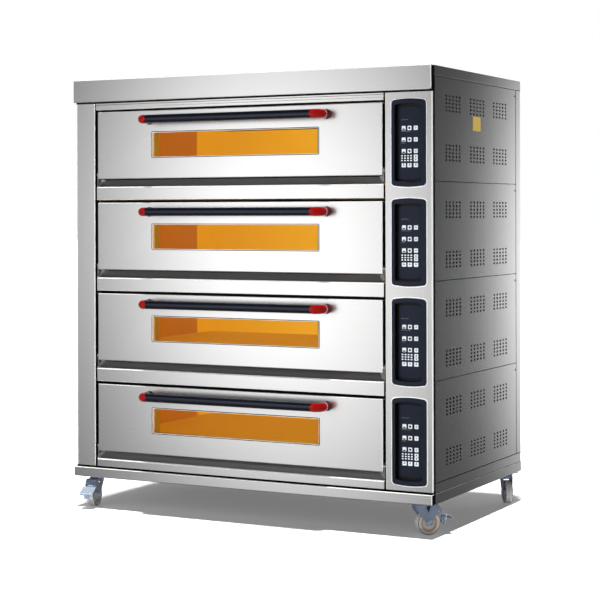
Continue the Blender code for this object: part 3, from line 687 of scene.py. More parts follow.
def column():
    """The control column's sheet, rounded at its right edge, with a cut-out for each panel."""
    left, right, web = COLUMN_LOW.x, COLUMN_HIGH.x, COLUMN_HIGH.x - 0.012
    path = [(web, 0.034), (web, 0.011), (right, 0.011), (right, 0.0), (left, 0.0), (left, 0.034)]
    mesh = folded(path, "Z", COLUMN_LOW.z, COLUMN_HIGH.z, (0.002, 0.002, 0.007, 0.0028))
    mesh = cut(mesh, *[plate(recess(0.004, door_bottom(deck)), -0.005, 0.006) for deck in DECKS])
    piece("column", mesh, "steel_tall", "carcass", ["control_column"], edges="steel_rim")


def slot_hole(centre, width, height, steps=3):
    """Outline of an oblong hole."""
    half = (width - height) / 2
    right = arc((centre[0] + half, centre[1]), height / 2, -90, 90, steps)
    return right + arc((centre[0] - half, centre[1]), height / 2, 90, 270, steps)


VENT_COLUMNS = (0.206, 0.470, 0.7345)  # centre of each group of holes, back from the doors
VENT_ROWS = (0.1120, 0.3115)  # centre of each group of holes, down from the panel's top
TOP_VENT_ROWS = (0.1025, 0.3010)
VENT_PITCH = (0.0355, 0.0148)
VENT_HOLE = (0.0168, 0.0076)


def vents(top, rows):
    """Outlines of a panel's ventilation holes: groups of five by five."""
    return [
        slot_hole((y + i * VENT_PITCH[0], top - z + j * VENT_PITCH[1]), *VENT_HOLE)
        for y in VENT_COLUMNS
        for z in rows
        for i in range(-2, 3)
        for j in range(-2, 3)
    ]


def side_panels():
    """Right side panels with their holes, folded edges and screws, and the jacket behind them, painted black as
    the shade seen through the holes.
    """
    for deck in DECKS:
        node = f"right_side_panel_{deck}"
        low, high = span(node)
        outline = rounded((low.y, low.z + 0.0006), (high.y, high.z - 0.0006), 0.0025)
        rows = TOP_VENT_ROWS if deck == 1 else VENT_ROWS
        skin = plate(outline, high.x - SHEET, high.x, "X", 0.0006, vents(high.z, rows), 0)
        edges = [
            block((high.x - 0.013, y, low.z + 0.003), (high.x - 0.001, y + SHEET, high.z - 0.003), 0.0004)
            for y in (low.y + 0.0002, high.y - SHEET - 0.0002)
        ]
        piece(f"side_skin_{deck}", merged(skin, *edges), "steel_side", "carcass", [node])
        places = [(high.x, y, high.z - 0.029) for y in (low.y + 0.011, high.y - 0.010)]
        piece(f"side_screws_{deck}", screws(places, (1, 0, 0)), "screw", "carcass")
    low, high = PANEL_LOW, PANEL_HIGH
    bottom = span("right_side_panel_4")[0].z
    near = (high.x - 0.015, high.y - 0.02, high.z - 0.01)
    jacket = block((high.x - 0.040, low.y + 0.030, bottom + 0.01), near, 0.004)
    piece("jacket_painted_shade", jacket, "jacket", "carcass")


def left_side():
    """Left panel with pressed stiffening beads and screws."""
    low, high = span("left_side_panel")
    face, middle, length = low.x, (low.y + high.y) / 2, (high.y - low.y) * 0.72
    outline = rounded((low.y, low.z + 0.0006), (high.y, high.z - 0.0006), 0.0025)
    skin = plate(outline, face, face + SHEET, "X", 0.0006)
    levels = [low.z + (high.z - low.z) * share for share in (0.25, 0.5, 0.75)]
    beads = [
        plate(slot_hole((middle, z), length, 0.020, 8), face - 0.0012, face + 0.001, "X", 0.0010)
        for z in levels
    ]
    piece("left_skin", merged(skin, *beads), "steel_side", "carcass", ["left_side_panel"])
    rows = [low.z + 0.04 + (high.z - low.z - 0.08) * i / 4 for i in range(5)]
    places = [(face, y, z) for y in (low.y + 0.012, high.y - 0.012) for z in rows]
    piece("left_screws", screws(places, (-1, 0, 0)), "screw", "carcass")


QUARTER_TURN = Matrix.Rotation(math.radians(90), 4, "X")  # lays what was made along z along y


def rear():
    """Rear cover with rounded corners, screws, pressed louvres and a cable gland."""
    low, high = REAR_LOW, REAR_HIGH
    left, right, back = low.x, high.x, DEPTH - 0.001
    path = [(left, low.y), (left, back), (right, back), (right, low.y)]
    wrap = folded(path, "Z", low.z, high.z, (0.004, 0.004))
    piece("rear_wrap", wrap, "steel_side", "carcass", ["rear_cover"])
    rows = [low.z + 0.05 + (high.z - low.z - 0.10) * i / 5 for i in range(6)]
    across = [left + 0.03 + (right - left - 0.06) * i / 4 for i in range(5)]
    places = [(x, back, z) for x in (across[0], across[-1]) for z in rows]
    places += [(x, back, z) for x in across[1:-1] for z in (rows[0], rows[-1])]
    piece("rear_screws", screws(places, (0, 1, 0)), "screw", "carcass")
    for deck in DECKS:
        centre = door_bottom(deck) + 0.150
        steps = (-0.045, -0.015, 0.015, 0.045)
        louvres = [louvre(x, centre + z) for x in (0.42, 0.85, 1.28) for z in steps]
        piece(f"rear_louvres_{deck}", merged(*louvres), "steel_side", "carcass")
    entry = Matrix.Translation(ORIGIN + Vector((1.54, DEPTH - 0.0012, 0.300))) @ QUARTER_TURN
    profile = [(0.010, 0.0), (0.024, 0.0), (0.024, -0.0008), (0.020, -0.0012), (0.020, 0.014), (0.010, 0.014)]
    piece("cable_gland", turned(profile, 40), "grip", "carcass", at=entry)


def louvre(x, z):
    """A pressed louvre on the rear cover, open at its lower edge."""
    sheet = DEPTH - 0.0015
    profile = [(sheet, z + 0.009), (DEPTH - 0.0002, z + 0.006), (DEPTH, z - 0.008), (sheet, z - 0.009)]
    return plate(profile, x - 0.11, x + 0.11, "X")


def label():
    """A blank yellow plate on the top right side panel."""
    face, top = PANEL_HIGH.x, PANEL_HIGH.z - 0.142
    outline = rounded((0.421, top - 0.060), (0.507, top), 0.004)
    sticker = plate(outline, face, face + 0.0008, "X", 0.0003)
    piece("blank_plate", sticker, "label", "carcass")


# One deck.

ON_DOOR = ("door", "door_glass", "handle_tube", "handle_bracket")  # nodes that swing with a door


def deck_piece(deck, name, mesh, finish, slot, shown=False, edges=None):
    """A piece of one deck, with heights from its door's bottom; shown if it takes its CAD node's place."""
    body = f"door_{deck}" if slot in ON_DOOR else "carcass"
    slot = f"{slot}_{deck}"
    replaces = [slot] if shown else ()
    piece(f"{name}_{deck}", mesh, finish, body, replaces, door_bottom(deck), edges=edges)


SILL_BACK = 0.024
SILL_TOP = -0.004
RAIL_TOP = -0.038
MITRE_WIDTH = 0.028


def rail(deck):
    """Sloping sill, and the rail under it with rounded folds, with an upright ear at each end."""
    low, high = span(f"deck_rail_{deck}", door_bottom(deck))
    path = [(0.030, low.z), (0.0, low.z), (0.0, RAIL_TOP), (0.004, RAIL_TOP + 0.0055)]
    face = folded(path, "X", low.x, high.x, (0.0025, 0.0026))
    deck_piece(deck, "rail", face, "steel_wide", "deck_rail", True, "steel_rim")
    back = LINER_LOW.y - 0.001
    foot = (0.0035, RAIL_TOP + 0.0050)
    slope = [foot, (SILL_BACK, SILL_TOP), (back, SILL_TOP)]
    sill = folded(slope, "X", low.x + 0.001, high.x - 0.001, (0.002,))
    deck_piece(deck, "sill", sill, "steel_sill", "deck_rail")
    mitres = [mitre(x, side, foot) for x, side in ((low.x + 0.0012, 1), (high.x - 0.0012, -1))]
    deck_piece(deck, "sill_mitres", merged(*mitres), "steel_wide", "deck_rail")
    ear = [(0.004, -0.030), (back, -0.030), (back, 0.028), (0.028, 0.034), (0.010, 0.034), (0.004, 0.028)]
    ears = [plate(ear, x, x + 0.0025, "X", 0.0004) for x in (DOOR_LOW.x + 0.0061, DOOR_HIGH.x - 0.0064)]
    deck_piece(deck, "hinge_ears", merged(*ears), "steel_inner", "deck_rail")


def mitre(x, side, foot):
    """A folded gusset that closes an end of the sill: a three-cornered sheet standing off its slope."""
    rise = Vector((0.0, -0.816, 0.577)) * 0.0055
    corner, top = Vector((x, *foot)), Vector((x, SILL_BACK, SILL_TOP))
    inner = top + Vector((side * MITRE_WIDTH, 0.0, 0.0))
    bm = bmesh.new()
    front = [bm.verts.new(p) for p in (corner + rise, top + rise, inner + rise * 0.2)]
    back = [bm.verts.new(p) for p in (corner, top, inner)]
    bm.faces.new(front)
    bm.faces.new(reversed(back))
    for i in range(3):
        bm.faces.new((front[i], back[i], back[i - 2], front[i - 2]))
    return filled(bm)


PAN = (DOOR_LOW.x + 0.010, DOOR_HIGH.x - 0.0105)  # the door itself, without its hinge pins
DOOR_HEIGHT = DOOR_HIGH.z - DOOR_LOW.z
PAN_BACK = 0.025
PLUG_BACK = DOOR_HIGH.y
PLUG_INSET = 0.055
PLUG_Z = (0.045, 0.254)
WINDOW = (PANE_LOW.x + 0.0075, PANE_HIGH.x - 0.0075)
WINDOW_Z = (PANE_LOW.z + 0.0075, PANE_HIGH.z - 0.0075)
PIN = Vector((0.012, 0.020))
GASKET_RADIUS = (LINER_LOW.y - PAN_BACK) / 2
PANE_FRONT = 0.0128


def opening(grow):
    """Outline of the window, grown by a margin."""
    low, high = (WINDOW[0] - grow, WINDOW_Z[0] - grow), (WINDOW[1] + grow, WINDOW_Z[1] + grow)
    return rounded(low, high, 0.002 + max(grow, 0.0))


def plug_outline(grow, corner):
    """Outline of the door's inner plug, grown by a margin."""
    left, right = PAN[0] + PLUG_INSET - grow, PAN[1] - PLUG_INSET + grow
    return rounded((left, PLUG_Z[0] - grow), (right, PLUG_Z[1] + grow), corner)


def door(deck):
    """Door pan with a bevelled rim, inner plug, gasket, window trim, two panes and hinge pins."""
    face = rounded((PAN[0], 0.0), (PAN[1], DOOR_HEIGHT), 0.003)
    pan = plate(face, 0.0, PAN_BACK, "Y", 0.0032, [opening(0.0)])
    deck_piece(deck, "door_pan", pan, "steel_wide", "door", True, "steel_rim")
    plug = plate(plug_outline(0.0, 0.010), PAN_BACK - 0.001, PLUG_BACK, "Y", 0.003, [opening(0.0008)])
    deck_piece(deck, "door_plug", plug, "steel_inner", "door")
    rope = [(x, PAN_BACK + GASKET_RADIUS, z) for x, z in plug_outline(GASKET_RADIUS + 0.003, 0.016)]
    deck_piece(deck, "door_gasket", tube(rope, GASKET_RADIUS - 0.0001, 4, True), "gasket", "door")
    trim = plate(opening(0.0006), -0.0009, PANE_FRONT, "Y", 0.0005, [opening(-0.0010)])
    deck_piece(deck, "window_trim", trim, "steel_rim", "door")
    # A thin ring of painted shadow round the window.
    line = plate(opening(0.0036), -0.0005, 0.0012, "Y", 0.0002, [opening(0.0005)])
    deck_piece(deck, "window_line", line, "shadow_paint", "door")
    places = ((0.0005, PANE_FRONT), (0.0, 0.050))
    panes = [plate(opening(grow), y, y + 0.004, "Y", 0.0006) for grow, y in places]
    deck_piece(deck, "panes", merged(*panes), "pane", "door_glass", True)
    pins = [rod((x - 0.010, *PIN), (x + 0.010, *PIN), 0.0048, 20, 0.0008) for x in PAN]
    deck_piece(deck, "door_pins", merged(*pins), "zinc_bright", "door")


GRIP_RADIUS = (SLEEVE_HIGH.z - SLEEVE_LOW.z) / 2
HANDLE_Z = (SLEEVE_LOW.z + SLEEVE_HIGH.z) / 2
HANDLE_Y = (SLEEVE_LOW.y + SLEEVE_HIGH.y) / 2
ELBOW_RADIUS = 0.0185
COLLAR_RADIUS = (GRIP_HIGH.z - GRIP_LOW.z) / 2
LEGS = (GRIP_LOW.x + COLLAR_RADIUS, GRIP_HIGH.x - COLLAR_RADIUS)
ELBOW_BEND = 0.026
SEAM_INSET = 0.034
SEAM_SLANT = 0.85


def slanted(mesh, reach):
    """Shears the ends of a bar along x, so that each end leans back from its front tip."""
    middle = sum(LEGS) / 2
    for vertex in mesh.vertices:
        side = 1 if vertex.co.x > middle else -1
        lean = SEAM_SLANT * (vertex.co.y - HANDLE_Y + GRIP_RADIUS)
        vertex.co.x = middle + side * (reach + lean)
    return mesh


def elbow(leg, side):
    """A red elbow from the door to the grip; side is +1 when it turns towards larger x."""
    turn = (leg + side * ELBOW_BEND, HANDLE_Y + ELBOW_BEND)
    start, end = (180, 270) if side > 0 else (0, -90)
    bend = arc(turn, ELBOW_BEND, start, end, 12)
    mouth = (leg + side * (ELBOW_BEND + 0.014), HANDLE_Y)
    return tube([(x, y, HANDLE_Z) for x, y in [(leg, -0.004), *bend, mouth]], ELBOW_RADIUS, 8)


def handle(deck):
    """Black grip sleeve between two red elbows, each with a pale ring and a dark collar at the door."""
    start, end = (LEGS[0], HANDLE_Y, HANDLE_Z), (LEGS[1], HANDLE_Y, HANDLE_Z)
    reach = (LEGS[1] - LEGS[0]) / 2 - SEAM_INSET
    sleeve = slanted(rod(start, end, GRIP_RADIUS, 48), reach)
    deck_piece(deck, "grip", sleeve, "grip", "handle_tube", True)
    space = slanted(rod(start, end, ELBOW_RADIUS + 0.001, 48), reach + 0.0004)
    elbows = [cut(elbow(leg, side), space) for leg, side in zip(LEGS, (1, -1))]
    deck_piece(deck, "elbows", merged(*elbows), "red", "handle_bracket", True)
    rings, collars = [], []
    for leg in LEGS:
        ring = (leg, -0.0325, HANDLE_Z), (leg, -0.0300, HANDLE_Z)
        rings.append(rod(*ring, ELBOW_RADIUS + 0.0007, 40, 0.0005))
        collar = (leg, -0.0003, HANDLE_Z), (leg, -0.0130, HANDLE_Z)
        collars.append(rod(*collar, COLLAR_RADIUS, 40, 0.0015, COLLAR_RADIUS - 0.002))
    deck_piece(deck, "elbow_rings", merged(*rings), "ring", "handle_bracket")
    deck_piece(deck, "elbow_collars", merged(*collars), "collar", "handle_bracket")


def panel_frame(deck):
    """Control panel: a rim in pale steel that paints its highlight, a navy frame, and a recess wall painted dark
    as shade.
    """
    rim = plate(panel(0.0042, PANEL_CORNER + 0.003), -0.0022, 0.0, "Y", 0.0018, [panel(-0.002)])
    deck_piece(deck, "panel_rim", rim, "steel_rim", "control_bezel")
    surround = plate(panel(), -0.005, 0.0, "Y", 0.0022, [recess()])
    deck_piece(deck, "panel_frame", surround, "navy", "control_bezel", True)
    wall = plate(recess(0.003), -0.0022, KEYPAD_HIGH.y + 0.001, "Y", 0.0, [recess(0.0003)])
    deck_piece(deck, "panel_wall", wall, "recess", "control_bezel")


KEY_COLUMNS = (-0.0265, -0.0015, 0.0255)
KEY_ROWS = (0.059, 0.013, -0.0325)
KEY_SIZE = 0.0170
KEY_TOP = KEYPAD_LOW.y - 0.0009
PRINT = 0.0002  # half the thickness of a printed shape


def key_face(x, z, width, height):
    """Outline of a key centred at (x, z) from the middle of the recess."""
    centre = RECESS_CENTRE + Vector((x, z))
    half = Vector((width, height)) / 2
    return rounded(centre - half, centre + half, 0.0022, 3)


def key(x, z, width=KEY_SIZE, height=KEY_SIZE):
    return plate(key_face(x, z, width, height), KEY_TOP, KEYPAD_LOW.y + 0.0002, "Y", 0.0004, (), 1)


def mark(outline, level=KEY_TOP):
    """A thin printed shape, on a key or at a level; its outline is given from the recess's middle."""
    points = [(RECESS_CENTRE.x + u, RECESS_CENTRE.y + v) for u, v in outline]
    return plate(points, level - PRINT, level + PRINT)


def bar(x, z, width, height):
    return [(x + u * width / 2, z + v * height / 2) for u, v in ((-1, -1), (1, -1), (1, 1), (-1, 1))]


def keypad(deck):
    """Membrane keypad: three rows of keys, a small number block, two arrow keys and a bottom row."""
    # The floor round the keypad face is painted black as the shade in the recess.
    floor = plate(recess(-0.0005), KEYPAD_HIGH.y - 0.002, KEYPAD_HIGH.y)
    deck_piece(deck, "keypad_floor", floor, "recess", "keypad")
    size = (RECESS_SIZE[0] - 0.014, RECESS_SIZE[1] - 0.020)
    outline = bowed(RECESS_CENTRE, size, RECESS_CORNER - 0.003, PANEL_BOW)
    face = plate(outline, KEYPAD_LOW.y, KEYPAD_HIGH.y - 0.001, "Y", 0.0014)
    deck_piece(deck, "keypad_face", face, "keypad", "keypad", True)
    keys, marks = [], []
    left, middle, right = KEY_COLUMNS
    for z in KEY_ROWS:
        keys += [key(x, z) for x in KEY_COLUMNS]
        marks.append(mark(arc((left, z - 0.0072), 0.0060, 0, 180, 10)))
        marks.append(mark(arc((middle, z - 0.0002), 0.0049, 0, 345, 14)))
        marks.append(mark(bar(right, z, 0.0012, 0.011)))
        marks.append(mark(bar(right, z, 0.011, 0.0012)))
    for i in range(4):
        for j in range(3):
            keys.append(key(left - 0.0075 + 0.0130 * i, -0.0510 - 0.0095 * j, 0.0078, 0.0055))
    for z, tip in ((-0.0535, 1), (-0.0675, -1)):
        keys.append(key(right, z, KEY_SIZE, 0.0130))
        foot = z - tip * 0.003
        marks.append(mark([(right - 0.0040, foot), (right + 0.0040, foot), (right, z + tip * 0.004)]))
    for x in KEY_COLUMNS:
        keys.append(key(x, -0.0885, 0.0186, 0.0165))
        marks.append(mark(bar(x, -0.0885, 0.0080, 0.0022)))
        marks.append(mark(bar(x, -0.0845, 0.0022, 0.0075)))
    deck_piece(deck, "keys", merged(*keys), "key", "keypad")
    deck_piece(deck, "key_marks", merged(*marks), "glyph", "keypad")
    lines = [
        mark(bar(left - 0.0105 + 0.0046 * i, z, 0.0030, 0.0022), KEYPAD_LOW.y)
        for z, count in ((0.092, 7), (0.0455, 9), (-0.0010, 4))
        for i in range(count)
    ]
    deck_piece(deck, "keypad_lines", merged(*lines), "mark", "keypad")


def chamber(deck):
    """The liner and the hearth plate with their painted glow, the elements and the lamp."""
    repaint(f"chamber_{deck}", "liner")
    repaint(f"hearth_{deck}", "hearth")
    repaint(f"heater_{deck}", "element")
    lens = turned([(0.0, 0.016), (0.014, 0.013), (0.022, 0.004), (0.026, 0.0), (0.0, 0.0)], 32)
    place = ORIGIN + Vector((LINER_HIGH.x - 0.30, LINER_HIGH.y - 0.004, door_bottom(deck) + 0.190))
    at = Matrix.Translation(place) @ QUARTER_TURN
    piece(f"chamber_lamp_{deck}", lens, "lamp", "carcass", at=at)


# Casters. Each is made with its swivel on z and its wheel trailing towards +x.

WHEEL_RADIUS = 0.050
WHEEL_HALF = 0.016
TRAIL = 0.028
FORK_HALF = 0.0215
PLATE_BOTTOM = 0.131
PEDAL_PIVOT = (0.069, 0.094)
PEDAL_TIP = (0.128, 0.066)
PEDAL_HALF = 0.030


def on_axle(mesh):
    """A turned mesh with its axis laid along y, at the wheel's centre."""
    mesh.transform(Matrix.Translation((TRAIL, 0.0, WHEEL_RADIUS)) @ QUARTER_TURN)
    return mesh


def both_sides(profile):
    """A profile from the wheel's rim to its middle plane, and its mirror image beyond it."""
    return [*profile, *[(u, -v) for u, v in reversed(profile)]]


def tyre():
    """Crowned tread with a groove round its middle."""
    r, h = WHEEL_RADIUS, WHEEL_HALF
    shoulder = reversed(arc((r - 0.005, h - 0.005), 0.005, 0, 90, 5))
    side = [(0.0350, h - 0.0015), (0.0420, h), *shoulder, (r, 0.0022), (r - 0.0018, 0.0012)]
    return on_axle(turned(both_sides(side), 72))


def tyre_edges():
    """Dark rings on the tyre's two shoulders: painted shade along its rounded edges."""
    h = WHEEL_HALF
    bead = [(0.0452, h - 0.0004), (0.0475, h + 0.0002), (0.0490, h - 0.0016), (0.0470, h - 0.0024)]
    other = [(u, -v) for u, v in reversed(bead)]
    return on_axle(merged(turned(bead, 72), turned(other, 72)))


def hub_parts():
    """The orange-brown core ring, and the grey hub inside it."""
    h = WHEEL_HALF
    ring = [(0.0290, h - 0.004), (0.0300, h - 0.0016), (0.0350, h - 0.0010)]
    hub = [
        (0.0060, h + 0.0012), (0.0125, h + 0.0012), (0.0140, h - 0.001),
        (0.0155, h - 0.006), (0.0270, h - 0.0055), (0.0292, h - 0.003),
    ]
    return [on_axle(turned(both_sides(side), 60)) for side in (ring, hub)]


def fork(braked):
    """Swivel head with its ball race, crown, saddle, two cheeks with rounded edges, and a brake cover."""
    plate_face = PLATE_BOTTOM - 0.0005
    head = [
        (0.0, plate_face), (0.029, plate_face), (0.030, PLATE_BOTTOM - 0.002), (0.030, 0.1265), (0.0275, 0.1255),
        (0.0275, 0.1245), (0.0305, 0.1235), (0.0310, 0.1205), (0.0285, 0.1170), (0.0, 0.1170),
    ]
    crown_end = 0.012 if braked else 0.045
    crown = block((-0.030, 0.0005 - FORK_HALF, 0.1155), (crown_end, FORK_HALF - 0.0005, 0.1212), 0.0012)
    back = [(0.047, 0.1205)]
    if braked:
        back = [
            (0.050, 0.074), (0.074, 0.085), (0.080, 0.090), (0.081, 0.099),
            (0.064, 0.1205), (0.034, 0.1205), (0.021, 0.092), (0.010, 0.1205),
        ]
    foot = arc((TRAIL, WHEEL_RADIUS), 0.014, 200, 340, 10)
    outline = [(-0.034, 0.1205), (-0.030, 0.107), *foot, *back]
    cheeks = [plate(outline, near, near + 0.003, "Y", 0.0007) for near in (-FORK_HALF, FORK_HALF - 0.003)]
    far = (min(crown_end, 0.036), FORK_HALF - 0.0010, 0.1160)
    saddle = block((-0.024, 0.0010 - FORK_HALF, 0.1055), far, 0.0020)
    parts = [turned(head, 48), crown, saddle, *cheeks]
    if braked:
        cover = [(0.1190, 0.036), (0.1190, 0.063), (0.1010, 0.0795)]
        parts.append(folded(cover, "Y", -0.023, 0.023, (0.004,), 0.0018, 0.0004))
    return merged(*parts)


# Washer, nut and bolt end: where each starts and stops beyond the fork, radius, sides and bevel.
AXLE_END = (
    (0.0, 0.0018, 0.0105, 28, 0.0004),
    (0.0016, 0.0055, 0.0082, 6, 0.0008),
    (0.0, 0.0065, 0.0045, 16, 0.0006),
)


def fasteners(braked):
    """Axle bolt with a nut and washers at each end, and the pedal's pin."""
    parts = []
    for side in (-1, 1):
        face = side * (FORK_HALF - 0.0005)
        for start, stop, *shape in AXLE_END:
            ends = [(TRAIL, face + side * along, WHEEL_RADIUS) for along in (start, stop)]
            parts.append(rod(*ends, *shape))
        if braked:
            ends = [(PEDAL_PIVOT[0], side * (FORK_HALF + y), PEDAL_PIVOT[1]) for y in (-0.001, 0.0018)]
            parts.append(rod(*ends, 0.0045, 16, 0.0006))
    return merged(*parts)


def pedal():
    """Wide brake pedal with a downturned lip, side lugs, two ribs and a brake shoe."""
    reach = math.dist(PEDAL_PIVOT, PEDAL_TIP)
    slope = math.atan2(PEDAL_PIVOT[1] - PEDAL_TIP[1], PEDAL_TIP[0] - PEDAL_PIVOT[0])
    # The tread's path is in (z, x) and lies across y.
    path = [(0.0012, 0.012), (0.0012, reach - 0.002), (-0.008, reach - 0.0005)]
    tread = folded(path, "Y", -PEDAL_HALF, PEDAL_HALF, (0.003,), 0.0020, 0.0004)
    ribs = [
        block((0.018, y - 0.0016, 0.0002), (reach - 0.018, y + 0.0016, 0.0014), 0.0005)
        for y in (-0.019, 0.019)
    ]
    inner = FORK_HALF - 0.0052
    knuckle = rod((0, -inner, 0), (0, inner, 0), 0.0058, 24, 0.0006)
    lug = [
        (-0.004, -0.004), (0.004, -0.0055), (0.030, -0.0045),
        (0.030, 0.0010), (0.0, 0.0055), (-0.004, 0.003),
    ]
    lugs = [plate(lug, y, y + 0.0025, "Y", 0.0004) for y in (-inner, inner - 0.0025)]
    shoe = block((-0.003, -0.010, -0.0082), (0.003, 0.010, -0.003), 0.0006)
    lip = [(0.034, 0.0), (0.040, 0.0), (0.047, -0.030), (0.052, -0.034), (0.050, -0.037), (0.042, -0.033)]
    gap = block((0.02, -0.006, -0.05), (0.07, 0.006, -0.018))
    lever = cut(plate(lip, -0.021, 0.021, "Y", 0.0006), gap)
    mesh = merged(tread, *ribs, knuckle, *lugs, shoe, lever)
    pivot = Matrix.Translation((PEDAL_PIVOT[0], 0.0, PEDAL_PIVOT[1]))
    mesh.transform(pivot @ Matrix.Rotation(slope, 4, "Y"))
    return mesh


def caster(name):
    """One caster, placed by its swivel and roll joints."""
    pivot = Vector(JOINTS[f"caster_swivel_{name}"]["pos_m"])
    trail = Vector(JOINTS[f"caster_roll_{name}"]["pos_m"]) - pivot
    flat = Matrix.Translation((pivot.x, pivot.y, 0.0))
    place = flat @ Matrix.Rotation(math.atan2(trail.y, trail.x), 4, "Z")
    braked = name.startswith("front")
    ring, hub = hub_parts()
    parts = [
        ("fork", fork(braked), "zinc", "caster_fork", True),
        ("axle", fasteners(braked), "zinc_bright", "caster_fork", False),
        ("tyre", tyre(), "tread", "caster_wheel", True),
        ("tyre_edges", tyre_edges(), "rubber", "caster_wheel", False),
        ("hub_ring", ring, "hub_ring", "caster_wheel", False),
        ("hub", hub, "hub", "caster_wheel", False),
    ]
    if braked:
        parts.append(("pedal", pedal(), "zinc_bright", "brake_pedal", True))
    for part, mesh, finish, body, shown in parts:
        node = f"{body}_{name}"
        piece(f"{part}_{name}", mesh, finish, node, [node] if shown else (), at=place)
    outline = rounded((-0.048, -0.042), (0.048, 0.042), 0.006)
    mount = plate(outline, PLATE_BOTTOM, PLATE_BOTTOM + 0.004, "Z", 0.0008)
    bolts = [
        rod((x, y, PLATE_BOTTOM - 0.0005), (x, y, PLATE_BOTTOM - 0.006), 0.007, 6, 0.0008)
        for x in (-0.038, 0.038)
        for y in (-0.032, 0.032)
    ]
    piece(f"caster_plate_{name}", merged(mount, *bolts), "zinc", "carcass", at=flat)


def stage():
    """A pale floor that the steel doesn't mirror; below the horizon it sees the studio instead."""
    bm = bmesh.new()
    bmesh.ops.create_grid(bm, x_segments=1, y_segments=1, size=60.0)
    obj = bpy.data.objects.new("floor", filled(bm))
    bpy.context.scene.collection.objects.link(obj)
    obj.data.materials.append(finish_of("floor"))
    obj.visible_glossy = False
    obj.visible_shadow = False


def aimed(name, data, place, target):
    obj = bpy.data.objects.new(name, data)
    obj.location = ORIGIN + Vector(place)
    aim = ORIGIN + Vector(target) - obj.location
    obj.rotation_euler = aim.to_track_quat("-Z", "Y").to_euler()
    bpy.context.scene.collection.objects.link(obj)
    return obj


def card(name, place, target, size, glow, edge=0.0, roll=0.0):
    """A soft card of light; glow is its radiance at the middle and edge the share left at its rim."""
    data = bpy.data.lights.new(name, "AREA")
    data.shape = "RECTANGLE"
    data.size, data.size_y = size
    data.energy = glow * math.pi * size[0] * size[1]
    data.use_nodes = True
    tree = data.node_tree
    where = added(tree, "NewGeometry")
    centre = added(tree, "VectorMath", {1: (0.5, 0.5, 0.0)}, operation="SUBTRACT")
    reach = added(tree, "VectorMath", operation="LENGTH")
    limits = {"From Max": 0.5, "To Min": 1.0, "To Max": edge}
    fade = added(tree, "MapRange", limits, interpolation_type="SMOOTHSTEP")
    wire(
        tree,
        (where, "Parametric", centre, 0),
        (centre, 0, reach, 0),
        (reach, "Value", fade, "Value"),
        (fade, "Result", tree.nodes["Emission"], "Strength"),
    )
    obj = aimed(name, data, place, target)
    obj.rotation_euler.rotate_axis("Z", math.radians(roll))
    obj.visible_camera = False


GROUND_GLOW = (0.16, 0.16, 0.165, 1.0)
HORIZON_GLOW = (0.070, 0.070, 0.072, 1.0)
CEILING_GLOW = (0.05, 0.05, 0.052, 1.0)


def studio():
    """A dim room round the oven, white where the camera looks straight at it."""
    world = bpy.data.worlds.new("studio")
    world.use_nodes = True
    tree = world.node_tree
    room = tree.nodes["Background"]
    white = added(tree, "Background", {"Color": WHITE, "Strength": 1.0})
    sight = added(tree, "LightPath")
    mix = added(tree, "MixShader")
    place = added(tree, "TexCoord")
    split = added(tree, "SeparateXYZ")
    height = added(tree, "ValToRGB")
    ramp = height.color_ramp.elements
    ramp[0].position, ramp[0].color = 0.20, GROUND_GLOW
    ramp[1].position, ramp[1].color = 0.85, CEILING_GLOW
    ramp.new(0.5).color = HORIZON_GLOW
    lift = added(tree, "MapRange", {"From Min": -1.0})
    wire(
        tree,
        (place, "Generated", split, 0),
        (split, "Z", lift, "Value"),
        (lift, "Result", height, "Fac"),
        (height, "Color", room, "Color"),
        (sight, "Is Camera Ray", mix, 0),
        (room, 0, mix, 1),
        (white, 0, mix, 2),
        (mix, 0, tree.nodes["World Output"], "Surface"),
    )
    bpy.context.scene.world = world


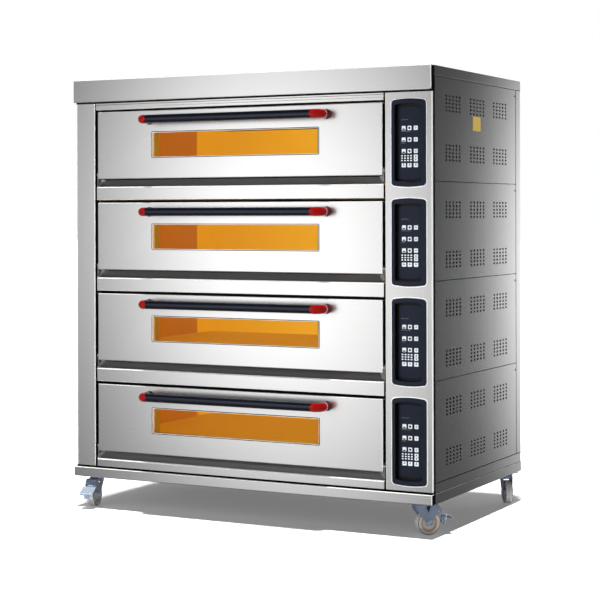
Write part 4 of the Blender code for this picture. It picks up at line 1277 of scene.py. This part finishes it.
def lights():
    studio()
    sky = bpy.data.lights.new("overhead", "SUN")
    sky.energy = 6.4
    sky.angle = math.radians(3)
    sun = aimed("overhead", sky, (0.10, -0.30, 4.0), (0.0, 0.0, 0.0))
    sun.visible_glossy = False
    card("front_card", (-0.06, -2.0, 1.10), (-0.06, 0.0, 1.10), (3.4, 4.7), 1.60, 0.08, 8.0)
    card("side_card", (2.6, 4.3, 0.95), (1.7, 4.3, 0.95), (3.3, 4.8), 2.9, 0.0)
    card("left_card", (-1.6, 2.0, 1.15), (0.0, 0.8, 1.10), (2.4, 3.2), 0.9, 0.05)
    card("rear_card", (0.6, 3.6, 1.00), (0.85, 1.0, 0.90), (3.0, 3.6), 1.1, 0.05)
    card("top_card", (0.1, 1.9, 4.4), (0.1, 1.9, 0.0), (4.4, 4.4), 0.50, 0.1)
    card("flank_card", (5.2, 0.3, 1.10), (1.7, 0.5, 1.00), (2.6, 3.6), 0.55, 0.1)
    card("corner_card", (-3.2, -2.0, 1.20), (0.0, 0.6, 1.00), (2.4, 3.4), 0.60, 0.05)
    card("right_card", (4.4, -3.2, 1.20), (0.85, 0.0, 1.00), (2.6, 3.4), 1.0, 0.05)


CAMERA_PLACE = (4.2589, -6.0423, 1.2857)
CAMERA_YAW = 27.54
CAMERA_ROLL = -0.137
CAMERA_LENS = 100.0
CAMERA_SHIFT = -0.146


def camera():
    data = bpy.data.cameras.new("camera")
    data.lens = CAMERA_LENS
    data.sensor_width = 36.0
    data.shift_y = CAMERA_SHIFT
    data.clip_end = 200.0
    obj = bpy.data.objects.new("camera", data)
    turn = Matrix.Rotation(math.radians(CAMERA_YAW), 4, "Z") @ Matrix.Rotation(math.radians(90), 4, "X")
    roll = Matrix.Rotation(math.radians(CAMERA_ROLL), 4, "Z")
    obj.matrix_world = Matrix.Translation(ORIGIN + Vector(CAMERA_PLACE)) @ turn @ roll
    bpy.context.scene.collection.objects.link(obj)
    bpy.context.scene.camera = obj
    bpy.context.scene.view_settings.view_transform = "Standard"


def main():
    for build in (roof, base, painted_shadow_strips, stile, column, side_panels, left_side, rear, label):
        build()
    for deck in DECKS:
        for build in (rail, door, handle, panel_frame, keypad, chamber):
            build(deck)
    for name in ("front_left", "front_right", "rear_left", "rear_right"):
        caster(name)
    stage()
    lights()
    camera()


main()
